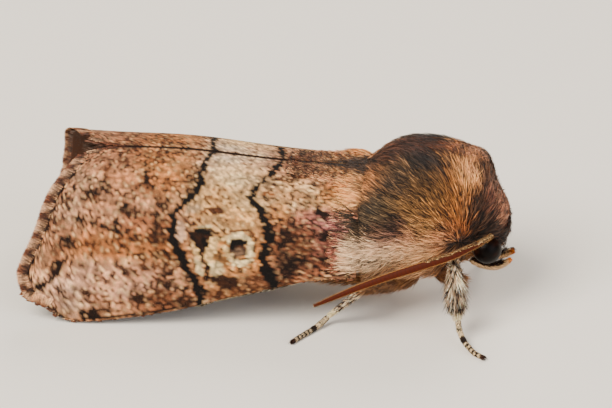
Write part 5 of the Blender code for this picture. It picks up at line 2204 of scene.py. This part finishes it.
    def build(self) -> None:
        """Builds the leg's fur, foot, foot scales and claws."""
        label = f"{self.name}_{self.side.label}"
        self.fur().build(f"{label}_fur", FUR, "leg_hair")
        foot = self.foot()
        rings, sides = self.foot_cells
        along = np.repeat(np.linspace(0.0, 1.0, rings), sides)
        shell = Mesh(*foot.surface(sides), self.foot_tone(along, np.full(len(along), 0.5)) * 0.85)
        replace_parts(shell.build(f"{label}_foot", SKIN, "tarsus_scales"), f"{label}_tarsus")
        self.claws(foot).build(f"{label}_claws", CLAW, "tarsus_scales")
        place, turn, roots, out, ahead = foot.scatter(self.rng, self.foot_scales)
        count = len(place)
        size = np.column_stack([self.rng.uniform(0.08, 0.13, count), np.full(count, 0.045)])
        lift = self.rng.uniform(0.008, 0.03, count)
        tone = self.foot_tone(place, self.rng.random(count))
        side = unit(np.cross(out, ahead))
        scales = flakes(roots, ahead, side, out, size, lift, tone, unwrapped(place, turn))
        scales.points[:, 2] = np.maximum(scales.points[:, 2], 0.002)
        scales.build(f"{label}_foot_scales", SCALES, "tarsus_scales")


@dataclass
class Palps:
    """The scales on the two palps under the face: tan, with an orange tip and a dark crest along the top.

    The counts are the scales, and the hairs before all but the top's are cleared away.
    """

    body: BodySkin
    rng: np.random.Generator
    counts: tuple = (2600, 2200)

    def scales(self, tube: Tube) -> Mesh:
        """Makes the scales that lie along a palp.

        Args:
            tube: The palp.

        Returns:
            The scales.
        """
        along, turn, roots, out, ahead = tube.scatter(self.rng, self.counts[0])
        count = len(along)
        tone = mix(rgb("ecd0ae"), rgb("cf8c4c"), ramp((along - 0.88) / 0.1))
        tone = tone * self.rng.uniform(0.7, 1.15, (count, 1))
        size = np.column_stack([self.rng.uniform(0.12, 0.24, count), np.full(count, 0.045)])
        lift = self.rng.uniform(0.02, 0.08, count)
        side = unit(np.cross(out, ahead))
        return flakes(roots, ahead, side, out, size, lift, tone, unwrapped(along, turn))

    def crest(self, tube: Tube) -> Mesh:
        """Makes the dark hair that stands up from a palp's upper side towards the face.

        Args:
            tube: The palp.

        Returns:
            The hairs.
        """
        places = tube.scatter(self.rng, self.counts[1])
        keep = (places[3][:, 2] > 0.5) & (places[0] < 0.8)
        along, turn, roots, out, ahead = (part[keep] for part in places)
        count = len(along)
        height = self.rng.uniform(0.1, 0.22, count)
        lie = unit(ahead + 0.9 * out + self.rng.normal(0.0, 0.2, out.shape))
        tone = rgb("3c2a1e") * self.rng.uniform(0.6, 1.3, (count, 1))
        size = np.column_stack([2.0 * height, np.full(count, 0.04)])
        side = unit(np.cross(out, ahead))
        up = unit(np.cross(lie, side))
        return flakes(roots, lie, side, up, size, np.zeros(count), tone, unwrapped(along, turn))

    def build(self) -> None:
        """Builds the palps' scales."""
        for side in Side:
            tube = self.body.limbs[f"palp_{side.label}"]
            coat = joined([self.scales(tube), self.crest(tube)])
            coat.build(f"palp_scales_{side.label}", SCALES, "palp_scales")


# ---- studio ----


@dataclass
class Studio:
    """A pale floor, soft light from large lamps and a pale sky, and the camera.

    Attributes:
        target: The point the camera looks at, in mm.
        azimuth: The camera's turn around the moth in degrees, elevation its height over the horizon.
        distance: How far it stands from the target, in mm.
        field: Width of the view at the target, in mm.
        lamps: Each lamp's place and edge length in mm, its power in watts and its light's colour.
    """

    target: tuple = (1.5, 0.0, 4.45)
    azimuth: float = 9.3
    elevation: float = 28.0
    distance: float = 230.0
    field: float = 27.818
    sensor: float = 36.0
    floor_size: float = 1200.0
    floor_tone: str = "efeae0"
    sky_tone: str = "f2eee6"
    sky_strength: float = 0.42
    lamps: tuple = (
        ("key", (-120.0, -190.0, 260.0), 200.0, 2.1, "fff6ea"),
        ("fill", (220.0, -160.0, 130.0), 220.0, 0.5, "f2f4ff"),
        ("rim", (60.0, 240.0, 200.0), 200.0, 0.7, "fff2e4"),
    )

    def floor(self) -> None:
        """Lays a plain pale floor."""
        bpy.ops.mesh.primitive_plane_add(size=self.floor_size * MM, location=(0.0, 0.0, 0.0))
        plane = bpy.context.object
        plane.name = "studio_floor"
        mat = bpy.data.materials.new("floor")
        mat.use_nodes = True
        shader = mat.node_tree.nodes["Principled BSDF"]
        shader.inputs["Base Color"].default_value = (*linear(rgb(self.floor_tone)), 1.0)
        shader.inputs["Roughness"].default_value = 0.9
        plane.data.materials.append(mat)
        plane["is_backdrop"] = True

    def hang(self, name: str, data: bpy.types.ID, place: Vector, toward: Vector) -> bpy.types.Object:
        """Puts a lamp or the camera in its place.

        Args:
            name: Its name.
            data: The lamp or camera.
            place: Where it goes, in mm.
            toward: The direction it looks in.

        Returns:
            The new object.
        """
        obj = bpy.data.objects.new(name, data)
        obj.location = place * MM
        obj.rotation_euler = toward.to_track_quat("-Z", "Y").to_euler()
        bpy.context.scene.collection.objects.link(obj)
        return obj

    def build(self) -> None:
        """Sets up floor, lamps, sky and camera."""
        self.floor()
        target = Vector(self.target)
        for name, place, size, watts, tone in self.lamps:
            lamp = bpy.data.lights.new(name, "AREA")
            lamp.shape, lamp.size, lamp.energy = "SQUARE", size * MM, watts
            lamp.color = tuple(linear(rgb(tone)))
            self.hang(name, lamp, Vector(place), target - Vector(place))
        world = bpy.data.worlds.new("sky")
        world.use_nodes = True
        sky = world.node_tree.nodes["Background"]
        sky.inputs["Color"].default_value = (*linear(rgb(self.sky_tone)), 1.0)
        sky.inputs["Strength"].default_value = self.sky_strength
        bpy.context.scene.world = world
        turn, tilt = math.radians(self.azimuth), math.radians(self.elevation)
        back = Vector((math.sin(turn) * math.cos(tilt), -math.cos(turn) * math.cos(tilt), math.sin(tilt)))
        camera = bpy.data.cameras.new("camera")
        camera.sensor_fit, camera.sensor_width = "HORIZONTAL", self.sensor
        camera.lens = self.sensor * self.distance / self.field
        camera.clip_start, camera.clip_end = 0.005, 10.0
        bpy.context.scene.camera = self.hang("camera", camera, target + back * self.distance, -back)


# ---- assembly ----


def fur_ground(body: BodySkin) -> Ground:
    """Joins the surfaces that the front's fur may lie over: head and thorax, fore wings and eyes.

    Args:
        body: The body under the coat.

    Returns:
        The ground.
    """
    ground = Ground(*body.lap())
    for side in Side:
        wing = ForeWing(side, np.random.default_rng(0))
        flat = coons(wing.dorsum, wing.termen, wing.costa, (60, 40))
        points = wing.roof.place(flat[..., 0], flat[..., 1], side, 0.0)
        faces = grid_faces(*points.shape[:2])
        faces = faces if side is Side.LEFT else faces[:, ::-1]
        globe = Eye(side).globe()
        ground = ground.joined_with(points.reshape(-1, 3), faces).joined_with(globe.points, globe.faces[0])
    return ground


def record_size(sizes: dict, key: str) -> None:
    """Keeps the model's bounds as plain lists."""
    low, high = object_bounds()
    sizes[key] = [list(low), list(high)]


def main() -> None:
    """Builds the moth's looks in order; each piece reports itself."""
    logging.basicConfig(level=logging.INFO, format="%(message)s")
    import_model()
    sizes: dict = {}
    record_size(sizes, "frame")
    Studio().build()
    body = BodySkin()
    skin = body.build()
    ground = fur_ground(body)
    for number, side in enumerate(Side):
        ForeWing(side, np.random.default_rng(100 + number)).build()
        HindWing(side, np.random.default_rng(110 + number)).build()
    for number, side in enumerate(Side):
        hair = ForeWing(side, np.random.default_rng(120 + number)).root_hair(ground, ROOT_FUR)
        hair.build(f"forewing_{side.label}_root_hair", FUR, "forewing_scales")
    Coat(body, ground, skin, np.random.default_rng(3)).build()
    for number, side in enumerate(Side):
        Eye(side).build()
        Antenna(side, np.random.default_rng(20 + number)).build()
        for index, leg in enumerate(LEG_JOINTS):
            Leg(leg, side, body, np.random.default_rng(30 + 2 * index + number)).build()
    Palps(body, np.random.default_rng(50)).build()
    record_size(sizes, "finished")
    LOG.info("moth built")


if __name__ == "__main__":
    main()
